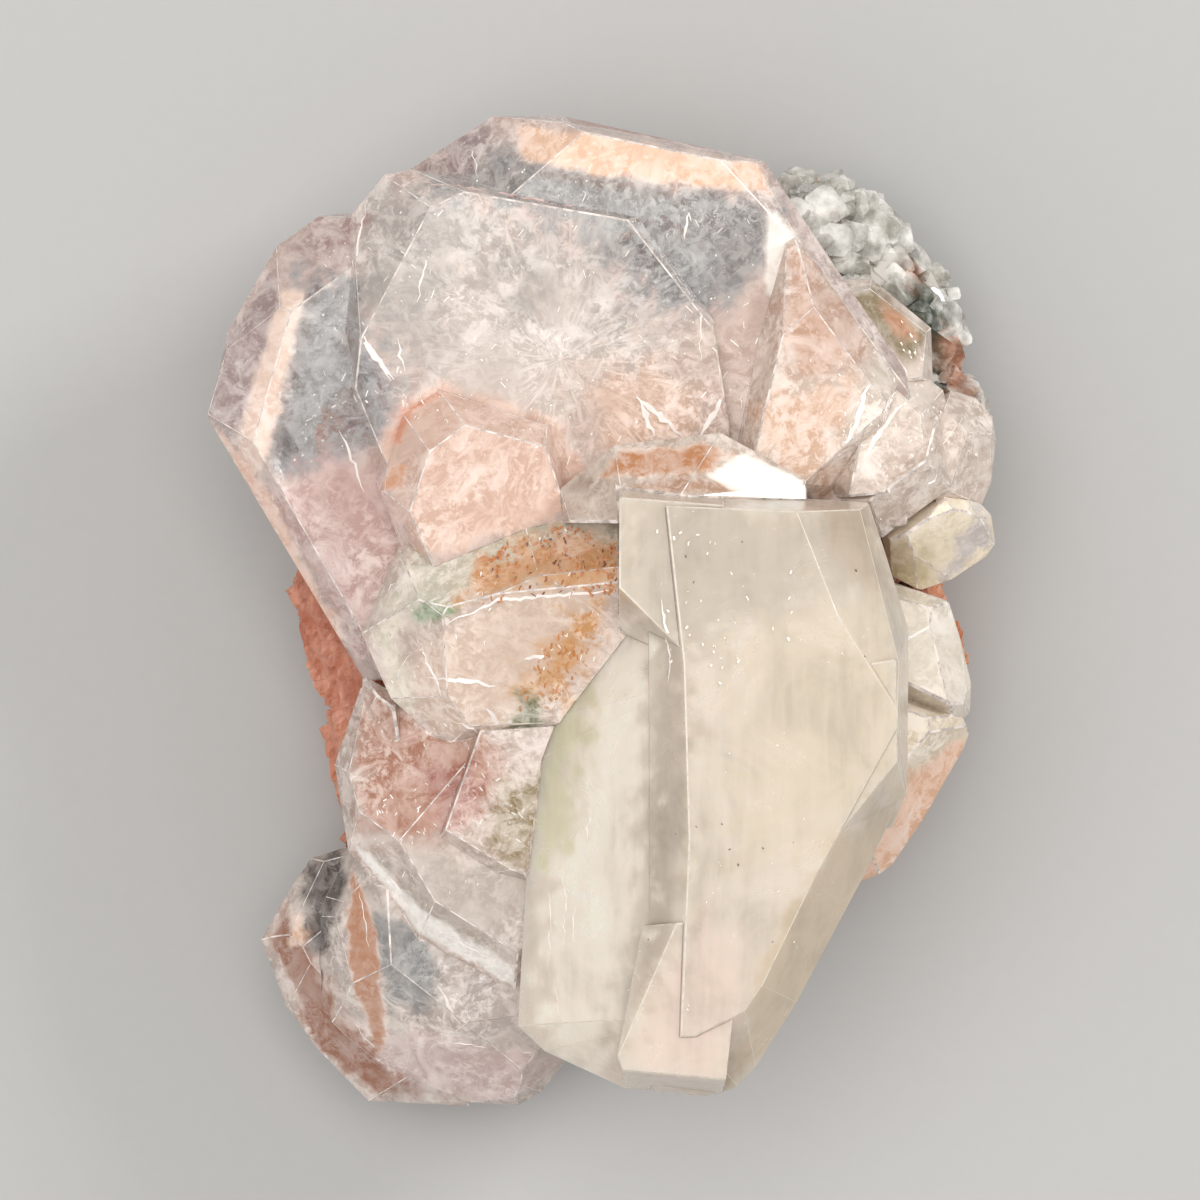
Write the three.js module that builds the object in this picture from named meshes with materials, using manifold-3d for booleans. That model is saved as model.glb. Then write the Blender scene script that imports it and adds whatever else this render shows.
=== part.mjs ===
// Apophyllite with stilbite: clear and milky apophyllite crystals grown on a mass of salmon stilbite.
// Millimetres, +Z up. The specimen lies on the flat break where it left the rock, its crystals up.
// The origin is under the middle of its bounding box. +X and +Y are the display face's right and top.
import * as THREE from "three";
import { mergeVertices } from "three/addons/utils/BufferGeometryUtils.js";
import Module from "manifold-3d";

const wasm = await Module();
wasm.setup();

// Clearance between neighbouring pieces
const GAP = 0.3;
// Rise of an apophyllite pyramid face's normal above the prism, from the crystal's axial ratio
const PYRAMID_RISE = 29.6;
// Half side of the block that every crystal is cut from, more than the specimen's reach
const BLOCK = 90;
// A stilbite lath: how far its end faces slant, how far along they stand, how much neighbours overlap,
// how far they are out of line, and how much shorter the outer ones are
const LATH_POINT = 0.62;
const LATH_END = 0.86;
const LATH_OVERLAP = 0.72;
const LATH_STAGGER = 0.5;
const LATH_TAPER = 0.3;
// The rows of small crystals in the druse: how many, their distance, and how much higher each row stands
const BUD_ROWS = 4;
const BUDS_IN_ROW = 17;
const BUD_ROW_STEP = 1.7;
const BUD_ROW_RISE = 1.3;

// A unit vector from its azimuth in the floor's plane and its elevation above it, in degrees
function heading(azimuth, elevation) {
  const a = THREE.MathUtils.degToRad(azimuth);
  const e = THREE.MathUtils.degToRad(elevation);
  return new THREE.Vector3(Math.cos(a) * Math.cos(e), Math.sin(a) * Math.cos(e), Math.sin(e));
}

// A three.js geometry as a manifold-3d solid
function solidOf(geometry) {
  const bare = geometry.clone();
  bare.deleteAttribute("normal");
  bare.deleteAttribute("uv");
  const merged = mergeVertices(bare);
  return new wasm.Manifold(
    new wasm.Mesh({
      numProp: 3,
      vertProperties: merged.attributes.position.array,
      triVerts: new Uint32Array(merged.index.array),
    }),
  );
}

const block = solidOf(new THREE.BoxGeometry(2 * BLOCK, 2 * BLOCK, 2 * BLOCK));

// A convex crystal is the list of its flat faces: their outward normals and distances from the origin.
function face(normal, through) {
  return { normal, reach: normal.dot(new THREE.Vector3(...through)) };
}

// Faces given one by one: which way each looks, and a point that it passes through
function facetted(rows) {
  return rows.map(([azimuth, elevation, through]) => face(heading(azimuth, elevation), through));
}

// A crystal by its outline seen from above. Each row of corners is [x, y, z, rise, dip]: a corner of its
// girdle, and how many degrees the normals of the faces above and below rise, from there to the next.
function outlined({ corners, faces }) {
  const girdle = corners.map(([x, y, z]) => new THREE.Vector3(x, y, z));
  const middle = girdle.reduce((sum, corner) => sum.add(corner), new THREE.Vector3());
  middle.divideScalar(girdle.length);
  const sides = corners.flatMap(([, , , rise, dip], i) => {
    const along = girdle[(i + 1) % girdle.length].clone().sub(girdle[i]).normalize();
    const outward = new THREE.Vector3(along.y, -along.x, 0).normalize();
    if (outward.dot(girdle[i].clone().sub(middle)) < 0) outward.negate();
    const up = new THREE.Vector3().crossVectors(outward, along);
    if (up.z < 0) up.negate();
    return (rise === dip ? [rise] : [rise, dip]).map((angle) => {
      const turn = THREE.MathUtils.degToRad(angle);
      const normal = outward.clone().multiplyScalar(Math.cos(turn)).addScaledVector(up, Math.sin(turn));
      return { normal, reach: normal.dot(girdle[i]) };
    });
  });
  return [...sides, ...facetted(faces)];
}

// The solid of a convex crystal, with its faces moved out by grow
function cut(faces, grow = 0) {
  return faces.reduce(
    (solid, { normal, reach }) => solid.trimByPlane([-normal.x, -normal.y, -normal.z], -(reach + grow)),
    block,
  );
}

function join(solids) {
  return solids.reduce((whole, solid) => whole.add(solid));
}

// The largest body of a solid, without the crumbs that a cut leaves
function mainBody(solid) {
  return solid.decompose().reduce((best, body) => (body.volume() > best.volume() ? body : best));
}

// CRYSTALS

// The crown: three crystals in parallel growth that fill the upper part of the display face
const crown = [
  // The rear crystal, along the top edge
  outlined({
    corners: [
      [-12.7, 29.5, 16.5, 45, -14],
      [-7.2, 33.1, 17.5, 16, -8],
      [-2.8, 33.1, 18.5, 14, -8],
      [10.7, 29.9, 19, 30, -30],
      [20.1, 16, 18, -12, -12],
      [20, 6.1, 17, -12, -12],
      [-2.8, 3.4, 16, -12, -12],
      [-13.9, 20.8, 16.5, 8, -4],
    ],
    faces: [[305, 82, [-0.1, 20.7, 21.3]], [0, -90, [-0.1, 21.1, 9]], [35, 46, [9.7, 29.2, 20.6]]],
  }),
  // The front plate, a step higher
  outlined({
    corners: [
      [-16.5, 26.4, 19.5, 45, -14],
      [-14.4, 28.9, 20.5, 40, -14],
      [-12.6, 29.2, 21, 14, -4],
      [2.3, 26, 22, 30, -20],
      [7.3, 19.2, 21, 10, -12],
      [9.2, 6.1, 20, -12, -12],
      [-10.8, 3.4, 18, -12, -12],
      [-17, 19.3, 19.5, 16, -4],
    ],
    faces: [[305, 80, [-5.4, 19.3, 22.9]], [0, -90, [-5.5, 19.7, 10]]],
  }),
  // The left crystal, whose corner is the specimen's leftmost point
  outlined({
    corners: [
      [-26.4, 13, 16.5, 16, -8],
      [-24.9, 18.6, 16.5, 34, -8],
      [-21.7, 24.3, 16, 44, -14],
      [-18.9, 26.3, 16, 14, -8],
      [-16.1, 26.6, 16, -4, -4],
      [-2.8, 20.9, 16, -12, -12],
      [-5.5, -2, 15, -12, -12],
      [-15.9, -4.4, 14.5, 30, -30],
    ],
    faces: [[305, 82, [-20.1, 14.1, 19.6]], [0, -90, [-20.5, 14.3, 9]], [170, 52, [-23, 17.8, 18.8]]],
  }),
  // The small crystal set into the plate's lower edge
  outlined({
    corners: [
      [-14.6, 8, 22, 24, 10],
      [-14.1, 10, 22.4, 38, 10],
      [-13.1, 13, 22.8, 46, 10],
      [-10.8, 14.5, 23, 30, 10],
      [-3.8, 12.1, 23, 10, 10],
      [-1.1, 3.4, 21, -12, -12],
      [-12.8, 3.4, 20.5, 20, 0],
    ],
    faces: [[300, 80, [-9.4, 9.3, 25.4]], [0, -90, [-9.5, 9.5, 16]]],
  }),
];

// The right shoulder: a broad crystal whose long edge carries on the crown's, with two smaller ones below it
const shoulder = [
  outlined({
    corners: [
      [12.2, 27.1, 19, 26, -30],
      [16, 21.8, 19, 32, -30],
      [20.1, 16.1, 18, 10, -14],
      [18.6, 11.4, 18.5, 22, -20],
      [14.4, 7.3, 18.5, 12, -12],
      [8.3, 9.4, 19.5, 8, 8],
      [9.5, 14.4, 20, 12, 8],
      [11.1, 20.7, 20, 24, 8],
    ],
    faces: [[345, 78, [13.8, 15.3, 23]], [0, -90, [13.4, 15.6, 10]], [120, 64, [12.5, 20.7, 22.6]]],
  }),
  // The prism face beside the long edge
  outlined({
    corners: [
      [15.8, 22, 16.5, 30, -20],
      [18, 22.1, 16, 26, -20],
      [21.9, 18.9, 15.5, 20, -20],
      [22, 15.5, 15.5, 10, -20],
      [16.6, 14.1, 16, 10, 0],
    ],
    faces: [[35, 60, [19.3, 18.8, 17.4]], [0, -90, [18.8, 17.6, 10]]],
  }),
  // The rough slope under its broken edge
  outlined({
    corners: [
      [17.8, 17.9, 17.4, 34, -20],
      [20.3, 16.5, 16.6, 36, -24],
      [22.7, 14.7, 16, 30, -20],
      [23.3, 12.1, 16, 10, 0],
      [20, 8.1, 16, 0, 0],
      [14.7, 7.6, 17, 20, 0],
    ],
    faces: [[40, 70, [19.2, 14.1, 19.6]], [0, -90, [19.5, 12.9, 10]]],
  }),
  // The flat-topped crystal that ends at the milky crystal's top corner
  outlined({
    corners: [
      [14.6, 7.6, 19, 40, 10],
      [22.3, 12.8, 18.4, 26, 0],
      [23.2, 8.4, 17.6, 36, 0],
      [18.7, 5.1, 18, 30, 0],
      [16.6, 5.9, 18, 20, 0],
    ],
    faces: [[330, 76, [19.2, 8.7, 21.4]], [0, -90, [19.5, 8.9, 9]]],
  }),
  // The block at its right
  outlined({
    corners: [
      [21.9, 13.5, 15, 20, 0],
      [23.5, 14.6, 14.5, 32, -30],
      [25, 14.2, 14, 30, -30],
      [26.1, 13, 13.5, 16, -30],
      [26.5, 11.5, 13.5, 24, -30],
      [26, 8.7, 13.5, 34, -30],
      [25.4, 7.3, 13.8, 26, -30],
      [22.7, 6.8, 15, 10, 0],
      [20.3, 9.5, 15, 12, 0],
    ],
    faces: [[350, 64, [24, 11.4, 17.4]], [110, 66, [23.6, 12.4, 17.6]], [0, -90, [21.6, 10.9, 8.5]]],
  }),
];

// The milky block: crystals in parallel growth that stand out towards the viewer
const milky = [
  // The main crystal, with the long ridge down its middle
  outlined({
    corners: [
      [3.2, 7.9, 26, 8, -20],
      [17.5, 7, 25, 12, -22],
      [18.5, 4, 25, 14, -22],
      [20.1, -1.1, 24.5, 8, -22],
      [20, -12, 25.8, 26, -26],
      [16.9, -17.8, 26.4, 26, -26],
      [13, -25.9, 26.4, 26, -26],
      [10.1, -30.4, 26.2, 33, -26],
      [8.9, -31.3, 26, 30, -26],
      [6.7, -31.9, 25.6, 12, -26],
      [3.4, -31.6, 25, 0, 0],
    ],
    faces: [
      [0, 76, [5.7, -9.7, 34.6]],
      [28, 76.3, [9, -1.6, 33.7]],
      [336, 76.2, [6.4, -15.3, 34.4]],
      [23.4, 48.7, [14.1, 3.4, 31.9]],
      [182, 40, [5.6, -9.7, 34.6]],
      [0, -90, [9.3, -11.4, 10]],
    ],
  }),
  // Its upper left part
  outlined({
    corners: [
      [1.3, 8.1, 26, 6, -20],
      [7.8, 7.5, 26, 0, 0],
      [7.8, -3.9, 26, 0, 0],
      [6, -3.2, 34, 15, 15],
      [1.3, 1.3, 34, 0, 0],
      [1.3, 3.4, 26, 0, 0],
    ],
    faces: [[0, 76, [5.7, -9.7, 34.5]], [28, 76.3, [9, -1.6, 33.5]], [0, -90, [9.3, -11.4, 11]]],
  }),
  // Its right corner, a step proud of the long side below
  outlined({
    corners: [
      [20, -3.2, 24.5, 8, -22],
      [19.9, -12, 26.2, 30, 30],
      [14.8, -15.2, 32.2, 0, 0],
      [10.3, -16.3, 32.2, 0, 0],
      [10.4, -4.6, 26, 0, 0],
    ],
    faces: [[0, 76, [5.7, -9.7, 34.5]], [0, -90, [9.3, -11.4, 12]]],
  }),
  // Its lower left part
  outlined({
    corners: [
      [1.2, -29, 34, 42, 42],
      [5.1, -20.5, 34.2, 0, 0],
      [9.1, -20, 28, 0, 0],
      [7.8, -31.8, 25, 10, -26],
      [1.6, -31.4, 25, 10, -20],
    ],
    faces: [[0, 76, [5.7, -9.7, 34.5]], [336, 76.2, [6.4, -15.3, 34.2]], [0, -90, [9.3, -24.9, 11]]],
  }),
  // The clearer crystal at its left
  outlined({
    corners: [
      [1.3, 1.5, 25, 34, -10],
      [-0.8, -2, 24.5, 36, -14],
      [-3.4, -7.3, 24, 40, -22],
      [-4.4, -10.1, 23.5, 44, -22],
      [-5.4, -27.5, 22, 36, -22],
      [-3.7, -29.1, 22, 32, -22],
      [1.6, -31.5, 23, 14, -22],
      [6.5, -31.7, 24, 0, 0],
      [6.5, 1.5, 25, 20, 0],
    ],
    faces: [[186, 74, [2.5, -12.4, 31.8]], [110, 66, [2.5, -1.9, 32.2]], [250, 66, [1.2, -26.2, 31]],
      [0, -90, [1.2, -12.8, 11]]],
  }),
];

// The ridge behind the milky block's top edge, with the small bright face
const ridge = [
  outlined({
    corners: [
      [-2.6, 8, 24.5, 36, -20],
      [0.9, 10.8, 25, 41, -30],
      [7.8, 11.6, 25.5, 50, -30],
      [13.3, 8.6, 25.5, 8, -10],
      [13.5, 6, 25.5, 0, 0],
      [-2.4, 6, 24.5, 10, 0],
    ],
    faces: [[95, 41, [5.8, 11.5, 25.5]], [34, 62, [9.4, 10.5, 26.8]], [0, -90, [5.2, 9.4, 16.5]]],
  }),
];

// The clear crystal left of the milky block, looked into through its front face
const window = [
  outlined({
    corners: [
      [-15.8, -1.5, 21.5, 30, -30],
      [-13.4, 4.1, 22, 40, -24],
      [-5.4, 6.8, 22.5, 40, -20],
      [2.5, 8.3, 22.5, 0, 0],
      [2.5, -8.6, 22.5, 0, 0],
      [-4.1, -8.6, 22, 24, -30],
      [-10.3, -8.9, 21.5, 34, -36],
      [-13.9, -5.7, 21.5, 42, -36],
    ],
    faces: [[108, 66, [-4.1, 1.4, 28.5]], [262, 68, [-4.1, 1.4, 28.5]], [180, 56, [-14, -1.3, 25.1]],
      [0, -90, [-6.9, -2.6, 14.5]]],
  }),
];

// The clear shelf over the stilbite, below the window
const shelf = [
  outlined({
    corners: [
      [-16, -5.3, 18, 24, -20],
      [-17.7, -10.3, 17, 20, -30],
      [-16.8, -16, 17, 34, -36],
      [-12.1, -21.7, 18, 38, -42],
      [-5.9, -25.1, 18.5, 30, -30],
      [-4.5, -23.4, 19, 26, -20],
      [-2.8, -20.3, 19, 0, 0],
      [-2.8, -5.3, 19, 0, 0],
    ],
    faces: [[240, 79, [-10.1, -15.2, 22.2]], [160, 62, [-16, -9.9, 19.6]], [0, -90, [-10.3, -16.2, 10]]],
  }),
  // A ledge on it, against the milky block
  outlined({
    corners: [
      [-10.8, -15.1, 22, 40, 0],
      [-7.2, -17.3, 22, 30, 0],
      [-3.1, -18.5, 22, 0, 0],
      [-3.1, -7.2, 22, 0, 0],
      [-8.8, -8.2, 22, 20, 0],
    ],
    faces: [[238, 80, [-6.8, -13.9, 23.4]], [0, -90, [-6.9, -14.1, 14]]],
  }),
  // The small crystal at its upper left corner
  outlined({
    corners: [
      [-15.8, -4.6, 19, 30, 0],
      [-13.5, -5.9, 20, 20, 0],
      [-13.3, -9.1, 20, 40, 0],
      [-14.8, -9.3, 19, 40, 0],
      [-15.9, -7.4, 18.6, 30, -10],
    ],
    faces: [[190, 64, [-14.8, -6.7, 20.8]], [0, -90, [-14.9, -6.8, 14]]],
  }),
];

// The foot: two clear crystals at the lower left, set back behind the rest
const foot = [
  outlined({
    corners: [
      [-17.4, -16.2, 10, 20, -10],
      [-19.6, -16.9, 9.5, 34, -20],
      [-21.2, -19.3, 9, 30, -30],
      [-22.9, -22.3, 8.6, 38, -30],
      [-21.2, -26.8, 8, 42, -34],
      [-19.1, -29.7, 7.6, 42, -36],
      [-15.8, -33.1, 7.2, 30, -36],
      [-9.2, -33.6, 7.4, 14, -20],
      [-6.9, -26.4, 8, 0, 0],
      [-10.3, -16.2, 9, 0, 0],
    ],
    faces: [[200, 78, [-18.3, -22.9, 12]], [150, 62, [-20.4, -19.9, 10.8]], [0, -90, [-15.2, -23.9, 2]]],
  }),
  outlined({
    corners: [
      [-16.9, -16.3, 14, 30, -20],
      [-18.4, -19.3, 13.4, 30, -20],
      [-19.3, -23.5, 13, 24, -20],
      [-19.2, -26.4, 12.6, 40, -20],
      [-17.3, -28.4, 12, 44, -20],
      [-15.1, -30.2, 11.6, 40, -20],
      [-11.6, -31.9, 11.4, 40, -20],
      [-8.9, -33, 11, 22, -34],
      [-5.7, -33.2, 11, 24, -36],
      [-4.2, -32.3, 11, 28, -36],
      [-2.6, -30.3, 11.6, 14, -10],
      [-1.8, -23.5, 12, 0, 0],
      [-10.2, -16.1, 13, 0, 0],
    ],
    faces: [
      [186, 46, [-14.7, -24.5, 17.4]],
      [190, 30, [-17, -23, 15.4]],
      [350, 82, [-11.5, -23.3, 17.8]],
      [258, 52, [-10.9, -29.5, 15.8]],
      [292, 60, [-6.8, -29.1, 16]],
      [0, -90, [-10.4, -23.8, 3.6]],
    ],
  }),
];

// Small crystals down the right edge
const edgeUpper = [
  outlined({
    corners: [
      [18.9, 5.4, 15, 20, 0],
      [23.3, 8.5, 15, 30, -10],
      [24.7, 7.7, 14.4, 26, -30],
      [26, 6.4, 13.6, 24, -30],
      [26.3, 4.6, 13, 30, -36],
      [25.5, 3, 12.8, 36, -36],
      [23.5, 2.3, 13, 40, -36],
      [22, 1.3, 13.2, 36, -20],
      [19.6, 2.5, 14, 10, 0],
    ],
    faces: [[335, 66, [22.6, 4.4, 17.6]], [70, 64, [23.6, 6.4, 17.4]], [0, -90, [23, 4.8, 6.5]]],
  }),
];
const edgeMiddle = [
  outlined({
    corners: [
      [19.7, 1.7, 13.6, 20, 0],
      [23.2, 0.5, 13.4, 30, -20],
      [24, -2, 13, 22, -30],
      [24.7, -4.9, 12.6, 16, -34],
      [24.6, -6.8, 12.6, 24, -34],
      [23.8, -7.5, 12.8, 20, -30],
      [19.8, -6, 13.4, 0, 0],
    ],
    faces: [[10, 62, [22.3, -2.6, 16.2]], [60, 60, [22, -0.6, 16]], [0, -90, [22.3, -2.7, 6]]],
  }),
];
const edgeLower = [
  outlined({
    corners: [
      [18.7, -5.3, 15, 20, 0],
      [24, -7.1, 13.6, 40, -10],
      [24.7, -8.4, 13, 30, -20],
      [24.3, -9.7, 12.6, 30, -36],
      [21.5, -14, 12, 30, -40],
      [19.6, -17.2, 12, 34, -40],
      [17.1, -18.2, 12.6, 10, -30],
      [16.7, -11.4, 14, 0, 0],
    ],
    faces: [[35, 70, [21.6, -9, 17]], [322, 46, [22, -10.8, 16.2]], [0, -90, [20.9, -12.2, 7]]],
  }),
];

// STILBITE

// One lath: a flat blade with a chisel point at each end
function lath(at, along, flat, length, width, thickness) {
  const across = new THREE.Vector3().crossVectors(flat, along);
  const faces = [];
  const side = (normal, reach) => faces.push({ normal, reach: normal.dot(at) + reach });
  for (const way of [1, -1]) {
    side(flat.clone().multiplyScalar(way), thickness / 2);
    side(across.clone().multiplyScalar(way), width / 2);
    for (const slant of [1, -1]) {
      const end = along.clone().multiplyScalar(way).addScaledVector(across, slant * LATH_POINT).normalize();
      side(end, (length / 2) * LATH_END);
    }
  }
  return faces;
}

// A sheaf: laths that fan out from one waist. along and flat are azimuths and elevations in degrees, and size
// is a lath's length, width and thickness.
function sheaf({ at, along, flat, size, laths, fan }) {
  const [length, width, thickness] = size;
  const waist = new THREE.Vector3(...at);
  const lengthwise = heading(...along);
  const across = new THREE.Vector3().crossVectors(heading(...flat), lengthwise).normalize();
  const outward = new THREE.Vector3().crossVectors(lengthwise, across);
  return Array.from({ length: laths }, (_, i) => {
    const place = laths > 1 ? i / (laths - 1) - 0.5 : 0;
    const turn = THREE.MathUtils.degToRad(fan * place);
    const centre = waist.clone().addScaledVector(outward, place * thickness * (laths - 1) * LATH_OVERLAP);
    centre.addScaledVector(across, LATH_STAGGER * Math.sin(2.4 * i));
    return lath(
      centre,
      lengthwise.clone().applyAxisAngle(across, -turn),
      outward.clone().applyAxisAngle(across, -turn),
      length * (1 - LATH_TAPER * Math.abs(place) + 0.05 * Math.sin(5.1 * i)),
      width * (1 + 0.08 * Math.sin(3.7 * i + 1)),
      thickness,
    );
  });
}

// The mass under the crystals: its flat break, and a mound that fills the space between them
const stilbiteMass = [
  outlined({
    corners: [
      [-18.6, -2, 3, 12, -8],
      [-19.4, -8.8, 3, 12, -8],
      [-16.5, -17, 3, 16, -8],
      [-11.1, -20.1, 3, 16, -8],
      [2.6, -23.9, 3, 16, -8],
      [13.5, -19.8, 3, 16, -8],
      [20.4, -10.2, 3, 12, -8],
      [22.8, -2, 3, 12, -8],
      [23.1, 12.3, 3, 16, -8],
      [17.6, 21.9, 3, 20, -8],
      [6.7, 26.4, 3, 20, -8],
      [-8.3, 26, 3, 20, -8],
      [-18.6, 15.8, 3, 20, -8],
    ],
    faces: [[20, 86, [1.2, 0.7, 8.6]], [0, -90, [1.2, 0.7, 0]]],
  }),
  outlined({
    corners: [
      [-17.4, -6.1, 8, 30, 30],
      [-11.7, -16.2, 8, 34, 34],
      [2.6, -19.6, 8, 30, 30],
      [16.1, -12.2, 8, 34, 34],
      [22.3, 0.7, 8, 30, 30],
      [17.5, 12.9, 8, 34, 34],
      [6.7, 17, 8, 36, 36],
      [-10.3, 8.9, 8, 40, 40],
    ],
    faces: [[100, 82, [-0.1, -1.9, 17]], [280, 80, [-0.1, -10, 17]], [0, -90, [1.2, 0.7, 7]]],
  }),
];

const sheaves = [
  // Down the left side, where the photograph shows their edges past the clear crystals
  { at: [-16.7, -1.3, 8.4], along: [104, 6], flat: [196, 44], size: [12.5, 6, 1.4], laths: 5, fan: 9 },
  { at: [-14.4, -10.6, 7.4], along: [103, -3], flat: [194, 40], size: [12.5, 6.4, 1.4], laths: 5, fan: 10 },
  { at: [-13.1, -16.3, 6], along: [128, 4], flat: [210, 34], size: [9, 6, 1.4], laths: 5, fan: 20 },
  // Along the top, under the crown
  { at: [-15.1, 11.6, 5], along: [150, 10], flat: [90, 55], size: [11, 7, 1.5], laths: 5, fan: 26 },
  { at: [-6.9, 20.5, 4.8], along: [112, 8], flat: [30, 60], size: [12, 8, 1.5], laths: 5, fan: 28 },
  { at: [2.6, 21.9, 4.8], along: [84, 8], flat: [350, 60], size: [12, 8, 1.5], laths: 5, fan: 28 },
  { at: [12.1, 19.1, 4.5], along: [52, 8], flat: [330, 55], size: [11, 7.5, 1.5], laths: 5, fan: 26 },
  // Down the right side
  { at: [20.6, 11.6, 5], along: [20, 6], flat: [110, 50], size: [9, 6, 1.4], laths: 4, fan: 22 },
  { at: [22.1, -0.5, 7.8], along: [276, 4], flat: [4, 40], size: [7, 3, 1.2], laths: 3, fan: 8 },
  { at: [20.3, -3.4, 4.8], along: [330, 6], flat: [60, 50], size: [10, 7, 1.5], laths: 5, fan: 24 },
  // Along the bottom, under the milky block
  { at: [12.5, -15.6, 4.6], along: [312, 8], flat: [40, 50], size: [10.5, 7, 1.5], laths: 5, fan: 24 },
  { at: [6, -21.1, 4.8], along: [284, 10], flat: [10, 56], size: [11, 8, 1.5], laths: 5, fan: 26 },
  { at: [-2.9, -20.1, 4.8], along: [256, 8], flat: [170, 56], size: [11, 8, 1.5], laths: 5, fan: 26 },
].flatMap(sheaf);

const stilbite = [...stilbiteMass, ...sheaves];

// DRUSE

// A repeatable spread of numbers from 0 to 1
function spread(seed) {
  const value = Math.sin(seed * 127.1 + 11.7) * 43758.5453;
  return value - Math.floor(value);
}

// A blunt little crystal about its own centre
function bud(at, lean, spin, radius, height) {
  const axis = heading(lean[0], 90 - lean[1]);
  const stand = new THREE.Quaternion().setFromUnitVectors(new THREE.Vector3(0, 0, 1), axis);
  const centre = new THREE.Vector3(...at);
  const side = (azimuth, elevation, reach) => {
    const normal = heading(azimuth, elevation).applyQuaternion(stand);
    return { normal, reach: normal.dot(centre) + reach };
  };
  const faces = [side(0, 90, height / 2), side(0, -90, height / 2)];
  for (const turn of [0, 90, 180, 270]) {
    faces.push(side(spin + turn, 0, radius * (0.9 + 0.2 * spread(spin + turn))));
    faces.push(side(spin + turn + 45, PYRAMID_RISE, (height / 2) * 0.82 + radius * 0.2));
  }
  return faces;
}

// The crust of small crystals along the upper right edge: rows of buds that follow the edge
const druseEdge = [
  [12.7, 27.6, 9],
  [15.4, 28.1, 9],
  [17, 26.9, 9.4],
  [18.8, 25.4, 9.6],
  [20.7, 22.7, 9.6],
  [22.5, 20.9, 9.4],
  [22.9, 18, 9.4],
  [23.1, 15.5, 10],
  [24.5, 13.7, 11],
  [25, 11.1, 11.4],
].map((point) => new THREE.Vector3(...point));
const edgeCurve = new THREE.CatmullRomCurve3(druseEdge);

// One bud of a row: it leans out over the edge, the more so the lower its row
function budAt(row, i) {
  const seed = 1 + i + row * BUDS_IN_ROW;
  const along = (i + 0.5 + 0.5 * (spread(seed) - 0.5)) / BUDS_IN_ROW;
  const point = edgeCurve.getPointAt(along);
  const way = edgeCurve.getTangentAt(along);
  const outward = new THREE.Vector3(-way.y, way.x, 0).normalize();
  point.addScaledVector(outward, -BUD_ROW_STEP * row - 0.2 + 0.7 * (spread(seed + 50) - 0.5));
  point.z += BUD_ROW_RISE * row - 2.2 + 1.6 * (spread(seed + 90) - 0.5);
  const straight = THREE.MathUtils.radToDeg(Math.atan2(outward.y, outward.x));
  const azimuth = straight + 50 * (spread(seed + 130) - 0.5);
  const lean = 62 - 15 * row + 24 * (spread(seed + 170) - 0.5);
  const radius = 0.7 + 0.55 * spread(seed + 210);
  const height = radius * (2.3 + 0.7 * spread(seed + 290));
  return bud(point.toArray(), [azimuth, lean], 90 * spread(seed + 250), radius, height);
}

const buds = [];
for (let row = 0; row < BUD_ROWS; row += 1) {
  for (let i = 0; i < BUDS_IN_ROW; i += 1) buds.push(budAt(row, i));
}
const druseBody = [
  facetted([
    [36, 16, [19.1, 23.7, 8]],
    [66, 16, [15.5, 27.3, 8]],
    [8, 12, [23.6, 14.3, 8]],
    [300, 20, [23.6, 9.6, 8]],
    [215, 0, [12.8, 19.1, 8]],
    [150, 10, [12.8, 27.5, 8]],
    [40, 72, [17.4, 19.6, 12]],
    [0, -90, [19, 19.2, 3.5]],
    [30, -30, [20.3, 21.9, 4.5]],
  ]),
];
const druse = [...druseBody, ...buds];

// THE PIECES

const looks = {
  clear: { color: 0xf3e6df, roughness: 0.04, transparent: true, opacity: 0.55 },
  milky: { color: 0xd9cfc0, roughness: 0.3 },
  stilbite: { color: 0xd08a66, roughness: 0.5 },
  druse: { color: 0xd9dcd0, roughness: 0.25, transparent: true, opacity: 0.8 },
};

// Front to back: a piece is cut back by every piece before it, and keeps the gap to it.
const layers = [
  ["apophyllite_milky_block", milky, looks.milky],
  ["apophyllite_ridge", ridge, looks.clear],
  ["apophyllite_window", window, looks.clear],
  ["apophyllite_shelf", shelf, looks.clear],
  ["apophyllite_crown", crown, looks.clear],
  ["apophyllite_shoulder", shoulder, looks.clear],
  ["apophyllite_edge_upper", edgeUpper, looks.clear],
  ["apophyllite_edge_middle", edgeMiddle, looks.clear],
  ["apophyllite_edge_lower", edgeLower, looks.clear],
  ["apophyllite_foot", foot, looks.clear],
  ["stilbite_mass", stilbite, looks.stilbite],
  ["druse_crust", druse, looks.druse],
];

const cluster = new THREE.Group();
cluster.name = "apophyllite_with_stilbite";
const taken = [];
for (const [name, crystals, look] of layers) {
  const whole = join(crystals.map((faces) => cut(faces))).trimByPlane([0, 0, 1], 0);
  const solid = mainBody(taken.reduce((left, other) => left.subtract(other), whole));
  const { numProp, vertProperties, triVerts } = solid.getMesh();
  const position = new Float32Array((vertProperties.length / numProp) * 3);
  for (let i = 0; i < position.length / 3; i += 1) {
    position.set(vertProperties.subarray(i * numProp, i * numProp + 3), i * 3);
  }
  const geometry = new THREE.BufferGeometry();
  geometry.setAttribute("position", new THREE.BufferAttribute(position, 3));
  geometry.setIndex(new THREE.BufferAttribute(triVerts, 1));
  const mesh = new THREE.Mesh(geometry, new THREE.MeshStandardMaterial({ ...look, flatShading: true }));
  mesh.name = name;
  cluster.add(mesh);
  taken.push(...crystals.map((faces) => cut(faces, GAP)));
}
const middle = new THREE.Box3().setFromObject(cluster).getCenter(new THREE.Vector3());
cluster.position.set(-middle.x, -middle.y, 0);

export default cluster;
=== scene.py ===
import math
import random

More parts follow.
